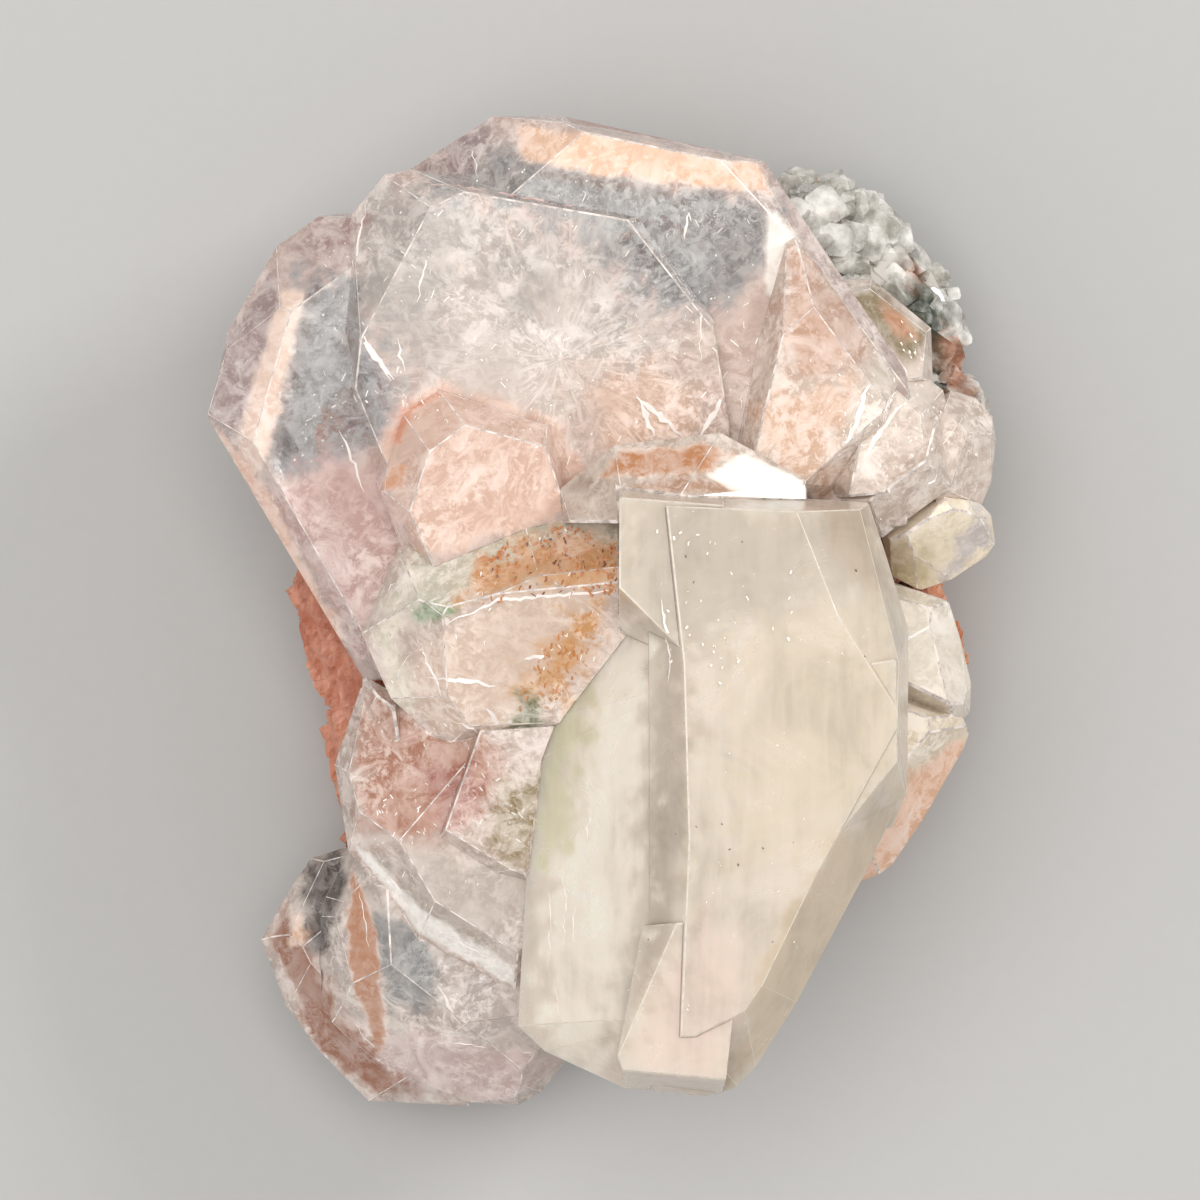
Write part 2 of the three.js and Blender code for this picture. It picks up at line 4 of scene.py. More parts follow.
import bmesh
import bpy
import numpy as np
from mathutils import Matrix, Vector, noise
from mathutils.bvhtree import BVHTree


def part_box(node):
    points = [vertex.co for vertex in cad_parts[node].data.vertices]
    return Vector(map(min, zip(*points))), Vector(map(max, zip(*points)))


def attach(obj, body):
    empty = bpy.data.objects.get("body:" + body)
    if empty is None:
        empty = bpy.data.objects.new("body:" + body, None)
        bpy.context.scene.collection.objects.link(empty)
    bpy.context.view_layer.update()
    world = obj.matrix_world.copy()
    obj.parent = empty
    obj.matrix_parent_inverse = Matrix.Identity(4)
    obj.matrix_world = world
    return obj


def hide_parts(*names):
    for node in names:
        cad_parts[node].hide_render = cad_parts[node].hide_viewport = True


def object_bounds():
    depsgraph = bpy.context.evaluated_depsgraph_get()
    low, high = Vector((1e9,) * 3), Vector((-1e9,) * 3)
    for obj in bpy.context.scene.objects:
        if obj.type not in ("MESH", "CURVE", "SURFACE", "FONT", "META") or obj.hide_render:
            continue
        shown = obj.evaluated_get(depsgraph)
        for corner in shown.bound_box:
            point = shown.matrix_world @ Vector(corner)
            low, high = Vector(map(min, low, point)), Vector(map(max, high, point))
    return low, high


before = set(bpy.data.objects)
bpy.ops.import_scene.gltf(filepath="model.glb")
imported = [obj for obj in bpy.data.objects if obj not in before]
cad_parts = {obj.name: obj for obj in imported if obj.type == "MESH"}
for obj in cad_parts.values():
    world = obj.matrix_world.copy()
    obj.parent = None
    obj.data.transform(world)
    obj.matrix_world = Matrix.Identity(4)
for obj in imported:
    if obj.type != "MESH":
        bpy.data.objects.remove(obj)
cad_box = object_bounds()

MM = 0.001
APOPHYLLITE_IOR = 1.535
MILKY_BLOCK = "apophyllite_milky_block"
CROWN = "apophyllite_crown"
# How far each crystal is grown into the clearance that the solids keep
CONTACT = 0.19 * MM
# Corners closer than this are one, edges flatter than the first angle go, and those sharper than the second
# are worn
WELD = 0.005 * MM
FLAT_ANGLE = math.radians(1)
SHARP_ANGLE = math.radians(7)
# The longest edge of a mesh that carries painted zones, and how often its edges are halved at most
FINE = 0.55 * MM
HALVINGS = 7
# The width of the worn line along a crystal's edges
EDGE_WIDTH = 0.06 * MM
# How far cracks and specks stand out of a face
PROUD = 0.05 * MM
# How much of the veils' cover the surface carries where it looks sideways, and where it looks up
SIDE_COVER = 0.75
TOP_COVER = 0.95
# How many crystals the druse has, and their least, greatest and usual half width in mm
DRUSE_COUNT = 420
DRUSE_SIZES = (0.3, 1.3, 0.55)
# How far one is sunk in the crust, and how much room its corners need, as shares of its half width
DRUSE_SUNK = 0.15
DRUSE_REACH = 1.7
# The voxels that the stilbite is remeshed with, and which way its blades run in the plan
STILBITE_VOXEL = 0.4 * MM
BLADE_TURN = math.radians(103)
# A ray that leaves a crystal crosses no more walls than this
MOST_WALLS = 40
# The points of a crack's line: how far apart, and how far off the line at random, in mm
CRACK_STEP = 0.35
CRACK_WANDER = 0.06
# Where the growth fibres run away from, in mm in the plan, in the crown and in the others
CROWN_HEART = (-2.8, 17.0)
SMALL_HEART = (6.5, -5.7)


# COLOURS

def tint(red, green, blue):
    """A linear colour from 0 to 255 screen values."""
    shares = (red / 255, green / 255, blue / 255)
    return tuple(v / 12.92 if v < 0.04045 else ((v + 0.055) / 1.055) ** 2.4 for v in shares)


def under_glass(colour):
    """The colour that a needle inside a crystal needs to look like this one from outside: the crystal keeps
    back part of what the needle throws back, the more so the darker it is."""
    return tuple(min(0.98, c / (0.40 + 0.58 * c)) for c in colour)


CLOUD_WHITE = tint(240, 228, 222)
PINK = tint(240, 214, 203)
PEACH_REFLECTION = tint(242, 198, 168)
FLECK_WHITE = tint(252, 248, 240)
FLECK_DARK = tint(120, 108, 100)
STILBITE_ORANGE = tint(196, 124, 66)
STILBITE_GOLD = tint(206, 136, 72)
STILBITE_BROWN = tint(128, 70, 44)


# MATERIALS

def new_material(name):
    """A node material, with its tree and its main shader."""
    material = bpy.data.materials.new(name)
    material.use_nodes = True
    tree = material.node_tree
    return material, tree, tree.nodes["Principled BSDF"]


def add(tree, kind, **settings):
    """A new node with these settings."""
    node = tree.nodes.new(kind)
    for key, value in settings.items():
        setattr(node, key, value)
    return node


def link(tree, out, into):
    """Joins an output to an input."""
    tree.links.new(out, into)


def painted_colour(tree):
    """The colour that the mesh carries at each vertex."""
    return add(tree, "ShaderNodeVertexColor", layer_name="paint").outputs["Color"]


def ramp(tree, source, stops):
    """A colour ramp over source. Each stop is its place and grey value or colour."""
    node = add(tree, "ShaderNodeValToRGB")
    elements = node.color_ramp.elements
    while len(elements) > len(stops):
        elements.remove(elements[-1])
    while len(elements) < len(stops):
        elements.new(1)
    for element, (place, value) in zip(elements, stops):
        element.position = place
        colour = value if isinstance(value, tuple) else (value, value, value)
        element.color = (*colour, 1)
    link(tree, source, node.inputs["Fac"])
    return node.outputs["Color"]


def math_node(tree, operation, *inputs):
    """The result of a sum over numbers and other nodes' outputs."""
    node = add(tree, "ShaderNodeMath", operation=operation)
    for slot, value in zip(node.inputs, inputs):
        if isinstance(value, (int, float)):
            slot.default_value = value
        else:
            link(tree, value, slot)
    return node.outputs[0]


def vector_node(tree, operation, *inputs):
    """A node for a sum over vectors."""
    node = add(tree, "ShaderNodeVectorMath", operation=operation)
    for slot, value in zip(node.inputs, inputs):
        if isinstance(value, tuple):
            slot.default_value = value
        else:
            link(tree, value, slot)
    return node


def position(tree):
    """The place on the specimen, in metres."""
    return add(tree, "ShaderNodeTexCoord").outputs["Object"]


def noise_node(tree, vector, scale, detail=4, roughness=0.55, distortion=0.0):
    """Soft noise, with scale in patches to the metre."""
    node = add(tree, "ShaderNodeTexNoise")
    node.inputs["Scale"].default_value = scale
    node.inputs["Detail"].default_value = detail
    node.inputs["Roughness"].default_value = roughness
    node.inputs["Distortion"].default_value = distortion
    link(tree, vector, node.inputs["Vector"])
    return node.outputs["Fac"]


def bump(tree, height, strength, distance):
    """Normals for relief that is too fine for the mesh."""
    node = add(tree, "ShaderNodeBump")
    node.inputs["Strength"].default_value = strength
    node.inputs["Distance"].default_value = distance
    link(tree, height, node.inputs["Height"])
    return node.outputs["Normal"]


def mix_colour(tree, share, first, second):
    """The first colour with a share of the second one."""
    node = add(tree, "ShaderNodeMix", data_type="RGBA")
    for slot, value in ((node.inputs[0], share), (node.inputs[6], first), (node.inputs[7], second)):
        if isinstance(value, tuple):
            slot.default_value = (*value, 1)
        elif isinstance(value, (int, float)):
            slot.default_value = value
        else:
            link(tree, value, slot)
    return node.outputs[2]


def lace(tree, place, heart, spin):
    """White growth fibres that run away from heart, with curled wisps between them, gathered in clouds."""
    away = vector_node(tree, "SUBTRACT", place, (heart[0] * MM, heart[1] * MM, 0)).outputs[0]
    flat = vector_node(tree, "MULTIPLY", away, (1, 1, 0)).outputs[0]
    length = vector_node(tree, "LENGTH", flat).outputs["Value"]
    fan = vector_node(tree, "SCALE", vector_node(tree, "NORMALIZE", flat).outputs[0])
    fan.inputs["Scale"].default_value = 6
    along = add(tree, "ShaderNodeCombineXYZ")
    link(tree, math_node(tree, "MULTIPLY", length, 260), along.inputs["Z"])
    streaked = vector_node(tree, "ADD", fan.outputs[0], along.outputs[0]).outputs[0]
    shifted = vector_node(tree, "ADD", streaked, (spin, 2 * spin, 3 * spin)).outputs[0]
    moved = vector_node(tree, "ADD", place, (spin, spin, spin)).outputs[0]
    fibres = noise_node(tree, shifted, 1.6, 8, 0.68, 0.9)
    wisps = noise_node(tree, moved, 560, 8, 0.7, 0.5)
    patches = noise_node(tree, moved, 130, 4, 0.6, 0.4)
    threads = ramp(tree, fibres, [(0.47, 0.0), (0.55, 0.6), (0.63, 1.0)])
    curls = ramp(tree, wisps, [(0.49, 0.0), (0.58, 0.75), (0.68, 1.0)])
    webs = noise_node(tree, moved, 1500, 5, 0.66, 0.5)
    fine = ramp(tree, webs, [(0.49, 0.0), (0.57, 0.55), (0.68, 0.9)])
    both = math_node(tree, "MAXIMUM", math_node(tree, "MULTIPLY", threads, 0.8), curls)
    both = math_node(tree, "MAXIMUM", both, fine)
    return math_node(tree, "MULTIPLY", both, ramp(tree, patches, [(0.36, 0.3), (0.6, 1.0)]))


def clear_apophyllite(name, absorbed, density, heart, spin):
    """Clear crystal: glossy faces with faint growth relief and a body that takes a little colour out. The
    veils that lie right under its faces are in the surface, by the mesh's paint and cover. A cover of 1 or
    more makes a facet plain, the more so up to 2."""
    material, tree, shader = new_material(name)
    shader.inputs["IOR"].default_value = APOPHYLLITE_IOR
    place = position(tree)
    # The paint carries the veils' colour, and on some facets painted highlights and painted reflections
    paint = painted_colour(tree)
    cover = add(tree, "ShaderNodeAttribute", attribute_name="cover").outputs["Fac"]
    body = lace(tree, place, heart, spin)
    wisps = math_node(tree, "MULTIPLY", body, math_node(tree, "MULTIPLY_ADD", cover, -0.25, 0.58))
    cloud = math_node(tree, "MULTIPLY_ADD", cover, 0.78, wisps)
    cloud = math_node(tree, "MINIMUM", cloud, 0.97)
    link(tree, math_node(tree, "SUBTRACT", 1.0, cloud), shader.inputs["Transmission Weight"])
    fading = add(tree, "ShaderNodeMath", operation="SUBTRACT", use_clamp=True)
    fading.inputs[0].default_value = 2.0
    link(tree, cover, fading.inputs[1])
    white = math_node(tree, "MULTIPLY", body, math_node(tree, "MULTIPLY", fading.outputs[0], 0.6))
    whiter = mix_colour(tree, white, paint, tint(253, 246, 240))
    shown = mix_colour(tree, ramp(tree, cloud, [(0.1, 0.0), (0.45, 1.0)]), (1.0, 1.0, 1.0), whiter)
    link(tree, shown, shader.inputs["Base Color"])
    smears = noise_node(tree, place, 260, 5, 0.6)
    link(tree, ramp(tree, smears, [(0.45, 0.02), (0.75, 0.16)]), shader.inputs["Roughness"])
    relief = noise_node(tree, place, 420, 3)
    link(tree, bump(tree, relief, 0.12, 0.2 * MM), shader.inputs["Normal"])
    volume = add(tree, "ShaderNodeVolumeAbsorption")
    volume.inputs["Color"].default_value = (*absorbed, 1)
    volume.inputs["Density"].default_value = density
    link(tree, volume.outputs[0], tree.nodes["Material Output"].inputs["Volume"])
    return material


def chipped_edge(name, colour, clearest):
    """The worn line along a crystal's edges: bright, rough, and broken up."""
    material, tree, shader = new_material(name)
    place = position(tree)
    wear = noise_node(tree, place, 1500, 4)
    dim = tuple(0.8 * c for c in colour)
    link(tree, ramp(tree, wear, [(0.35, dim), (0.6, colour)]), shader.inputs["Base Color"])
    link(tree, ramp(tree, wear, [(0.3, 0.15), (0.7, 0.5)]), shader.inputs["Roughness"])
    link(tree, ramp(tree, wear, [(0.45, clearest), (0.62, 0.05)]), shader.inputs["Transmission Weight"])
    shader.inputs["IOR"].default_value = APOPHYLLITE_IOR
    return material


def milky_apophyllite():
    """Cloudy crystal with light inside it, faint growth lines, and tones from the mesh's paint."""
    material, tree, shader = new_material("milky_apophyllite")
    place = position(tree)
    paint = painted_colour(tree)
    stretched = vector_node(tree, "MULTIPLY", place, (1, 0.12, 0.6)).outputs[0]
    lines = noise_node(tree, stretched, 900, 5, 0.6)
    mottle = noise_node(tree, place, 160, 6, 0.65, 0.5)
    clouds = math_node(tree, "MULTIPLY", mottle, 0.65)
    tone = math_node(tree, "MULTIPLY_ADD", lines, 0.35, clouds)
    stops = [(0.38, (0.80, 0.78, 0.74)), (0.5, (0.94, 0.92, 0.88)), (0.6, (1.0, 0.98, 0.95))]
    shade = ramp(tree, tone, stops)
    tinted = add(tree, "ShaderNodeMix", data_type="RGBA", blend_type="MULTIPLY")
    tinted.inputs[0].default_value = 1
    link(tree, paint, tinted.inputs[6])
    link(tree, shade, tinted.inputs[7])
    link(tree, tinted.outputs[2], shader.inputs["Base Color"])
    shader.inputs["IOR"].default_value = APOPHYLLITE_IOR
    shader.inputs["Transmission Weight"].default_value = 0.12
    shader.inputs["Subsurface Weight"].default_value = 0.55
    shader.inputs["Subsurface Radius"].default_value = (1, 0.82, 0.62)
    shader.inputs["Subsurface Scale"].default_value = 3 * MM
    link(tree, ramp(tree, mottle, [(0.4, 0.16), (0.7, 0.34)]), shader.inputs["Roughness"])
    link(tree, bump(tree, lines, 0.10, 0.15 * MM), shader.inputs["Normal"])
    return material


def stilbite():
    """Salmon blades, pearly and finely ribbed, with painted pink highlights on random patches and painted
    shade in the creases between the ribs.
    """
    material, tree, shader = new_material("stilbite")
    place = position(tree)
    paint = painted_colour(tree)
    bladed = vector_node(tree, "MULTIPLY", place, (1, 0.25, 1)).outputs[0]
    ribs = noise_node(tree, bladed, 1100, 6, 0.65)
    highlight_patches = noise_node(tree, place, 240, 5, 0.6)
    # Painted highlight: lighter pink on random patches; painted shade: darker in the creases of the ribs
    lit = mix_colour(tree, ramp(tree, highlight_patches, [(0.42, 0.0), (0.66, 0.6)]), paint, tint(226, 170, 144))
    dark = mix_colour(tree, ramp(tree, ribs, [(0.38, 0.45), (0.55, 0.0)]), lit, tint(150, 78, 58))
    link(tree, dark, shader.inputs["Base Color"])
    shader.inputs["Roughness"].default_value = 0.38
    shader.inputs["Subsurface Weight"].default_value = 0.2
    shader.inputs["Subsurface Radius"].default_value = (1, 0.5, 0.35)
    shader.inputs["Subsurface Scale"].default_value = 0.8 * MM
    shader.inputs["Sheen Weight"].default_value = 0.15
    link(tree, bump(tree, ribs, 0.5, 0.12 * MM), shader.inputs["Normal"])
    return material


def plain_inclusion(name, colour, roughness):
    """Small solid bits: flakes, needles and specks."""
    material, tree, shader = new_material(name)
    shade = noise_node(tree, position(tree), 700, 3)
    dim = tuple(0.82 * c for c in colour)
    link(tree, ramp(tree, shade, [(0.35, dim), (0.6, colour)]), shader.inputs["Base Color"])
    shader.inputs["Roughness"].default_value = roughness
    return material


def druse_crystal_look():
    """Small glassy crystals, coloured by the mesh's paint."""
    material, tree, shader = new_material("druse_crystals")
    place = position(tree)
    paint = painted_colour(tree)
    cloud = noise_node(tree, place, 500, 4, 0.6)
    share = ramp(tree, cloud, [(0.45, 0.0), (0.6, 0.5)])
    link(tree, mix_colour(tree, share, paint, tint(250, 248, 244)), shader.inputs["Base Color"])
    link(tree, ramp(tree, cloud, [(0.4, 0.75), (0.65, 0.15)]), shader.inputs["Transmission Weight"])
    shader.inputs["IOR"].default_value = APOPHYLLITE_IOR
    smears = noise_node(tree, place, 900)
    link(tree, ramp(tree, smears, [(0.4, 0.03), (0.7, 0.2)]), shader.inputs["Roughness"])
    return material


def crust_look():
    """The crust under the druse's crystals, with patches of dark green and peach."""
    material, tree, shader = new_material("druse_crust")
    place = position(tree)
    patches = noise_node(tree, place, 330, 4, 0.6, 0.3)
    white, peach, green = tint(206, 200, 192), tint(218, 152, 116), tint(66, 78, 58)
    stops = [(0.38, green), (0.43, white), (0.6, white), (0.66, peach)]
    link(tree, ramp(tree, patches, stops), shader.inputs["Base Color"])
    shader.inputs["IOR"].default_value = APOPHYLLITE_IOR
    smears = noise_node(tree, place, 900)
    link(tree, ramp(tree, smears, [(0.4, 0.06), (0.7, 0.3)]), shader.inputs["Roughness"])
    return material


def floor_look():
    """Plain pale matt board."""
    material, tree, shader = new_material("floor")
    grain = noise_node(tree, position(tree), 900, 3)
    pale = tint(182, 181, 179)
    duller = tuple(0.985 * c for c in pale)
    link(tree, ramp(tree, grain, [(0.3, duller), (0.7, pale)]), shader.inputs["Base Color"])
    shader.inputs["Roughness"].default_value = 0.75
    return material


# MESHES


def piece_of(name, vertices, faces, material):
    """A new piece on the specimen, from corners and faces."""
    data = bpy.data.meshes.new(name)
    data.from_pydata(vertices, [], faces)
    data.materials.append(material)
    piece = bpy.data.objects.new(name, data)
    bpy.context.scene.collection.objects.link(piece)
    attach(piece, "root")
    return piece


def smoothstep(values):
    """An even slope from 0 to 1 made soft at both ends."""
    values = np.clip(values, 0, 1)
    return values * values * (3 - 2 * values)


def inside_by(points, polygon):
    """How far each point lies inside a polygon, in mm; negative outside."""
    corners = np.array(polygon, float)
    nexts = np.roll(corners, -1, axis=0)
    nearest = np.full(len(points), 1e9)
    odd = np.zeros(len(points), bool)
    for (x0, y0), (x1, y1) in zip(corners, nexts):
        edge = np.array([x1 - x0, y1 - y0])
        rel = points - (x0, y0)
        share = np.clip(rel @ edge / (edge @ edge), 0, 1)
        nearest = np.minimum(nearest, np.linalg.norm(rel - share[:, None] * edge, axis=1))
        if y0 != y1:
            crosses = (points[:, 1] > min(y0, y1)) & (points[:, 1] <= max(y0, y1))
            odd ^= crosses & (points[:, 0] < x0 + (points[:, 1] - y0) / (y1 - y0) * (x1 - x0))
    return np.where(odd, nearest, -nearest)


def painted(points, base, zones, seed):
    """Colour and cover at each point in mm: the base (colour, cover), then each zone over it (outline, soft
    edge in mm, colour, cover), with a ragged border."""
    colour = np.tile(np.array(base[0], float), (len(points), 1))
    cover = np.full(len(points), float(base[1]))
    wobble = np.array([noise.fractal(Vector((x * 0.7, y * 0.7, seed)), 0.7, 2.1, 4) for x, y in points])
    for outline, soft, shade, thick in zones:
        depth = inside_by(points, outline) + soft * 1.4 * wobble
        share = smoothstep(depth / (2 * soft) + 0.5)[:, None]
        colour = colour * (1 - share) + np.array(shade) * share
        cover = cover * (1 - share[:, 0]) + thick * share[:, 0]
    return colour, cover


def set_paint(data, colour, cover=None):
    """Keeps each vertex's colour, and its cover where there is one, for the materials."""
    layer = data.color_attributes.new("paint", "FLOAT_COLOR", "POINT")
    opaque = np.column_stack([colour, np.ones(len(colour))])
    layer.data.foreach_set("color", opaque.astype(np.float32).ravel())
    if cover is not None:
        amount = data.attributes.new("cover", "FLOAT", "POINT")
        amount.data.foreach_set("value", cover.astype(np.float32))


def tree_of(name):
    """A search tree over a CAD node's mesh."""
    mesh = bmesh.new()
    mesh.from_mesh(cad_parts[name].data)
    tree = BVHTree.FromBMesh(mesh)
    mesh.free()
    return tree


def inside(tree, point):
    """True where a point lies inside a closed mesh."""
    # The ray is slanted so that it doesn't run along an upright face
    way = Vector((0.12, 0.07, 1)).normalized()
    step_past = way * 1e-6
    hits = 0
    hit = tree.ray_cast(point, way)[0]
    while hit is not None and hits < MOST_WALLS:
        hits += 1
        hit = tree.ray_cast(hit + step_past, way)[0]
    return hits % 2 == 1


def refine(mesh, longest):
    """Cuts long edges until the mesh can carry soft zones of colour."""
    for _ in range(HALVINGS):
        long = [e for e in mesh.edges if e.calc_length() > longest]
        if not long:
            break
        bmesh.ops.subdivide_edges(mesh, edges=long, cuts=1)
        bmesh.ops.triangulate(mesh, faces=[f for f in mesh.faces if len(f.verts) > 3])


def crystal(name, material, edge, base, zones, seed):
    """A copy of a CAD crystal with its facets whole and its edges worn, in the node's place."""
    mesh = bmesh.new()
    mesh.from_mesh(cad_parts[name].data)
    bmesh.ops.remove_doubles(mesh, verts=mesh.verts, dist=WELD)
    bmesh.ops.dissolve_limit(mesh, angle_limit=FLAT_ANGLE, verts=mesh.verts, edges=mesh.edges)
    sharp = [e for e in mesh.edges if e.is_manifold and e.calc_face_angle(0) > SHARP_ANGLE]
    bmesh.ops.bevel(mesh, geom=sharp, offset=EDGE_WIDTH, segments=1, affect="EDGES", clamp_overlap=True,
                    material=1)
    bmesh.ops.triangulate(mesh, faces=[f for f in mesh.faces if len(f.verts) > 4])
    low, high = cad_box
    grown = [v.co + v.normal * v.calc_shell_factor() * CONTACT for v in mesh.verts]
    for vertex, place in zip(mesh.verts, grown):
        vertex.co = [min(max(c, a), b) for c, a, b in zip(place, low, high)]
    refine(mesh, FINE)
    data = bpy.data.meshes.new(name + "_crystal")
    mesh.to_mesh(data)
    mesh.free()
    data.materials.append(material)
    data.materials.append(edge)
    piece = bpy.data.objects.new(name + "_crystal", data)
    bpy.context.scene.collection.objects.link(piece)
    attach(piece, "root")
    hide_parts(name)
    plan = np.array([(v.co.x / MM, v.co.y / MM) for v in data.vertices])
    colour, cover = painted(plan, base, zones, seed)
    upward = smoothstep(np.array([v.normal.z for v in data.vertices]))
    set_paint(data, colour, cover * (SIDE_COVER + (TOP_COVER - SIDE_COVER) * upward))


def slivers(name, node, count, heart, size, width, material, seed, turn=0.8, region=None):
    """Fine needles inside a crystal that run away from heart, an (x, y) in mm."""
    rng = random.Random(seed)
    tree = tree_of(node)
    low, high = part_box(node)
    centre = Vector((heart[0] * MM, heart[1] * MM, (low.z + high.z) / 2))
    vertices, faces = [], []
    tries = 0
    while len(faces) < 4 * count and tries < 12 * count:
        tries += 1
        point = Vector([rng.uniform(a, b) for a, b in zip(low, high)])
        patch = noise.noise(point * 300)
        if patch < rng.uniform(-0.5, 0.4) or not inside(tree, point):
            continue
        if region and inside_by(np.array([(point.x / MM, point.y / MM)]), region)[0] < 0:
            continue
        away = (point - centre)
        away.z *= 0.3
        away = away.normalized() + Vector([rng.gauss(0, turn) for _ in range(3)])
        half = away.normalized() * rng.uniform(*size) * MM / 2
        if not (inside(tree, point + half) and inside(tree, point - half)):
            continue
        anyhow = Vector([rng.gauss(0, 1) for _ in range(3)])
        side = half.cross(anyhow).normalized() * rng.uniform(*width) * MM
        other = half.cross(side).normalized() * side.length * 0.5
        first = len(vertices)
        vertices += [point - half, point + half, point + side, point - side * 0.3 + other]
        for corners in ((0, 2, 1), (0, 3, 2), (0, 1, 3), (1, 2, 3)):
            faces.append([first + corner for corner in corners])
    piece_of(name, vertices, faces, material)


def cracks(name, node, lines, width, material, seed):
    """Bright ragged cracks that come out at a crystal's surface, and painted glints drawn the same way,
    each a list of (x, y) points in mm.
    """
    rng = random.Random(seed)
    tree = tree_of(node)
    top = cad_box[1].z + 1 * MM
    vertices, faces = [], []
    for line in lines:
        route = []
        for (x0, y0), (x1, y1) in zip(line, line[1:]):
            steps = max(2, int(math.hypot(x1 - x0, y1 - y0) / CRACK_STEP))
            route += [(x0 + (x1 - x0) * i / steps, y0 + (y1 - y0) * i / steps) for i in range(steps)]
        route.append(line[-1])
        ring_start = None
        for count, (x, y) in enumerate(route):
            x, y = x + rng.gauss(0, CRACK_WANDER), y + rng.gauss(0, CRACK_WANDER)
            hit = tree.ray_cast(Vector((x * MM, y * MM, top)), Vector((0, 0, -1)))[0]
            if hit is None:
                continue
            share = count / max(1, len(route) - 1)
            half = width * MM * (0.25 + math.sin(math.pi * share)) * rng.uniform(0.5, 1.2) / 2
            ahead = Vector((line[-1][0] - line[0][0], line[-1][1] - line[0][1], 0)).normalized()
            side = Vector((-ahead.y, ahead.x, 0)) * half
            middle = Vector((hit.x, hit.y, min(hit.z + CONTACT + PROUD, cad_box[1].z)))
            first = len(vertices)
            vertices += [middle - side, middle + side, middle - Vector((0, 0, 3 * half))]
            if ring_start is None:
                faces.append((first + 2, first + 1, first))
            else:
                for a, b in ((0, 1), (1, 2), (2, 0)):
                    faces.append((ring_start + a, ring_start + b, first + b, first + a))
            ring_start = first
        if ring_start is not None:
            faces.append((ring_start, ring_start + 1, ring_start + 2))
    piece_of(name, vertices, faces, material)


def stilbite_mass():
    """The stilbite, remeshed finely and ribbed along its blades."""
    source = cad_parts["stilbite_mass"]
    data = source.data.copy()
    data.name = "stilbite_blades"
    piece = bpy.data.objects.new("stilbite_blades", data)
    bpy.context.scene.collection.objects.link(piece)
    remesh = piece.modifiers.new("remesh", "REMESH")
    remesh.mode = "VOXEL"
    remesh.voxel_size = STILBITE_VOXEL
    bpy.context.view_layer.update()
    fine = bpy.data.meshes.new_from_object(piece.evaluated_get(bpy.context.evaluated_depsgraph_get()))
    piece.modifiers.clear()
    piece.data = fine
    fine.materials.clear()
    fine.materials.append(STILBITE)
    lengthwise = Vector((math.cos(BLADE_TURN), math.sin(BLADE_TURN), 0))
    across = Vector((-lengthwise.y, lengthwise.x, 0))
    low, high = cad_box
    moved = []
    for place, normal in [(v.co.copy(), v.normal.copy()) for v in fine.vertices]:
        p = place / MM
        ribbed = Vector((p.dot(across) * 1.6, p.dot(lengthwise) * 0.3, p.z * 1.6))
        depth = 0.55 * noise.fractal(ribbed, 0.8, 2.2, 4) + 0.15 * noise.noise(p * 2.5)
        place += normal * (depth - 0.25) * MM
        moved += [min(max(c, a), b) for c, a, b in zip(place, low, high)]
    fine.vertices.foreach_set("co", moved)
    fine.update()
    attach(piece, "root")
    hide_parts("stilbite_mass")
    plan = np.array([(v.co.x / MM, v.co.y / MM) for v in fine.vertices])
    set_paint(fine, painted(plan, (tint(180, 108, 80), 1), STILBITE_ZONES, 9)[0])


def block_crystal():
    """The corners and faces of a little blocky crystal with cut corners, one unit in half width."""
    mesh = bmesh.new()
    for sx in (-1, 1):
        for sy in (-1, 1):
            for sz in (-1, 1):
                for cut in ((0.55, 1, 1), (1, 0.55, 1), (1, 1, 0.6)):
                    mesh.verts.new((sx * cut[0], sy * cut[1], sz * cut[2] * 1.15))
    bmesh.ops.convex_hull(mesh, input=mesh.verts)
    bmesh.ops.dissolve_limit(mesh, angle_limit=FLAT_ANGLE, verts=mesh.verts, edges=mesh.edges)
    mesh.verts.index_update()
    corners = [v.co.copy() for v in mesh.verts]
    faces = [[v.index for v in f.verts] for f in mesh.faces]
    mesh.free()
    return corners, faces


def druse_crystals():
    """Small glassy crystals crowded over the druse's crust."""
    rng = random.Random(21)
    corners, sides = block_crystal()
    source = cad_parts["druse_crust"].data
    triangles = [t for t in source.polygons if t.normal.z > -0.5]
    weights = [t.area for t in triangles]
    low, high = cad_box
    vertices, faces = [], []
    for triangle in rng.choices(triangles, weights, k=DRUSE_COUNT):
        a, b, c = [source.vertices[i].co for i in triangle.vertices][:3]
        r1, r2 = sorted((rng.random(), rng.random()))
        point = a * r1 + b * (r2 - r1) + c * (1 - r2)
        size = rng.triangular(*DRUSE_SIZES) * MM
        normal = triangle.normal + Vector([rng.gauss(0, 0.8) for _ in range(3)])
        turn = normal.to_track_quat("Z", "Y")
        centre = point - triangle.normal * DRUSE_SUNK * size
        room = DRUSE_REACH * size
        centre = Vector([min(max(p, a + room), b - room) for p, a, b in zip(centre, low, high)])
        first = len(vertices)
        vertices += [centre + turn @ (corner * size) for corner in corners]
        faces += [[first + i for i in side] for side in sides]
    piece = piece_of("druse_crystals", vertices, faces, druse_crystal_look())
    plan = np.array([(v.co.x / MM, v.co.y / MM) for v in piece.data.vertices])
    colour, cover = painted(plan, (tint(244, 240, 230), 1), DRUSE_ZONES, 9)
    set_paint(piece.data, colour, cover)


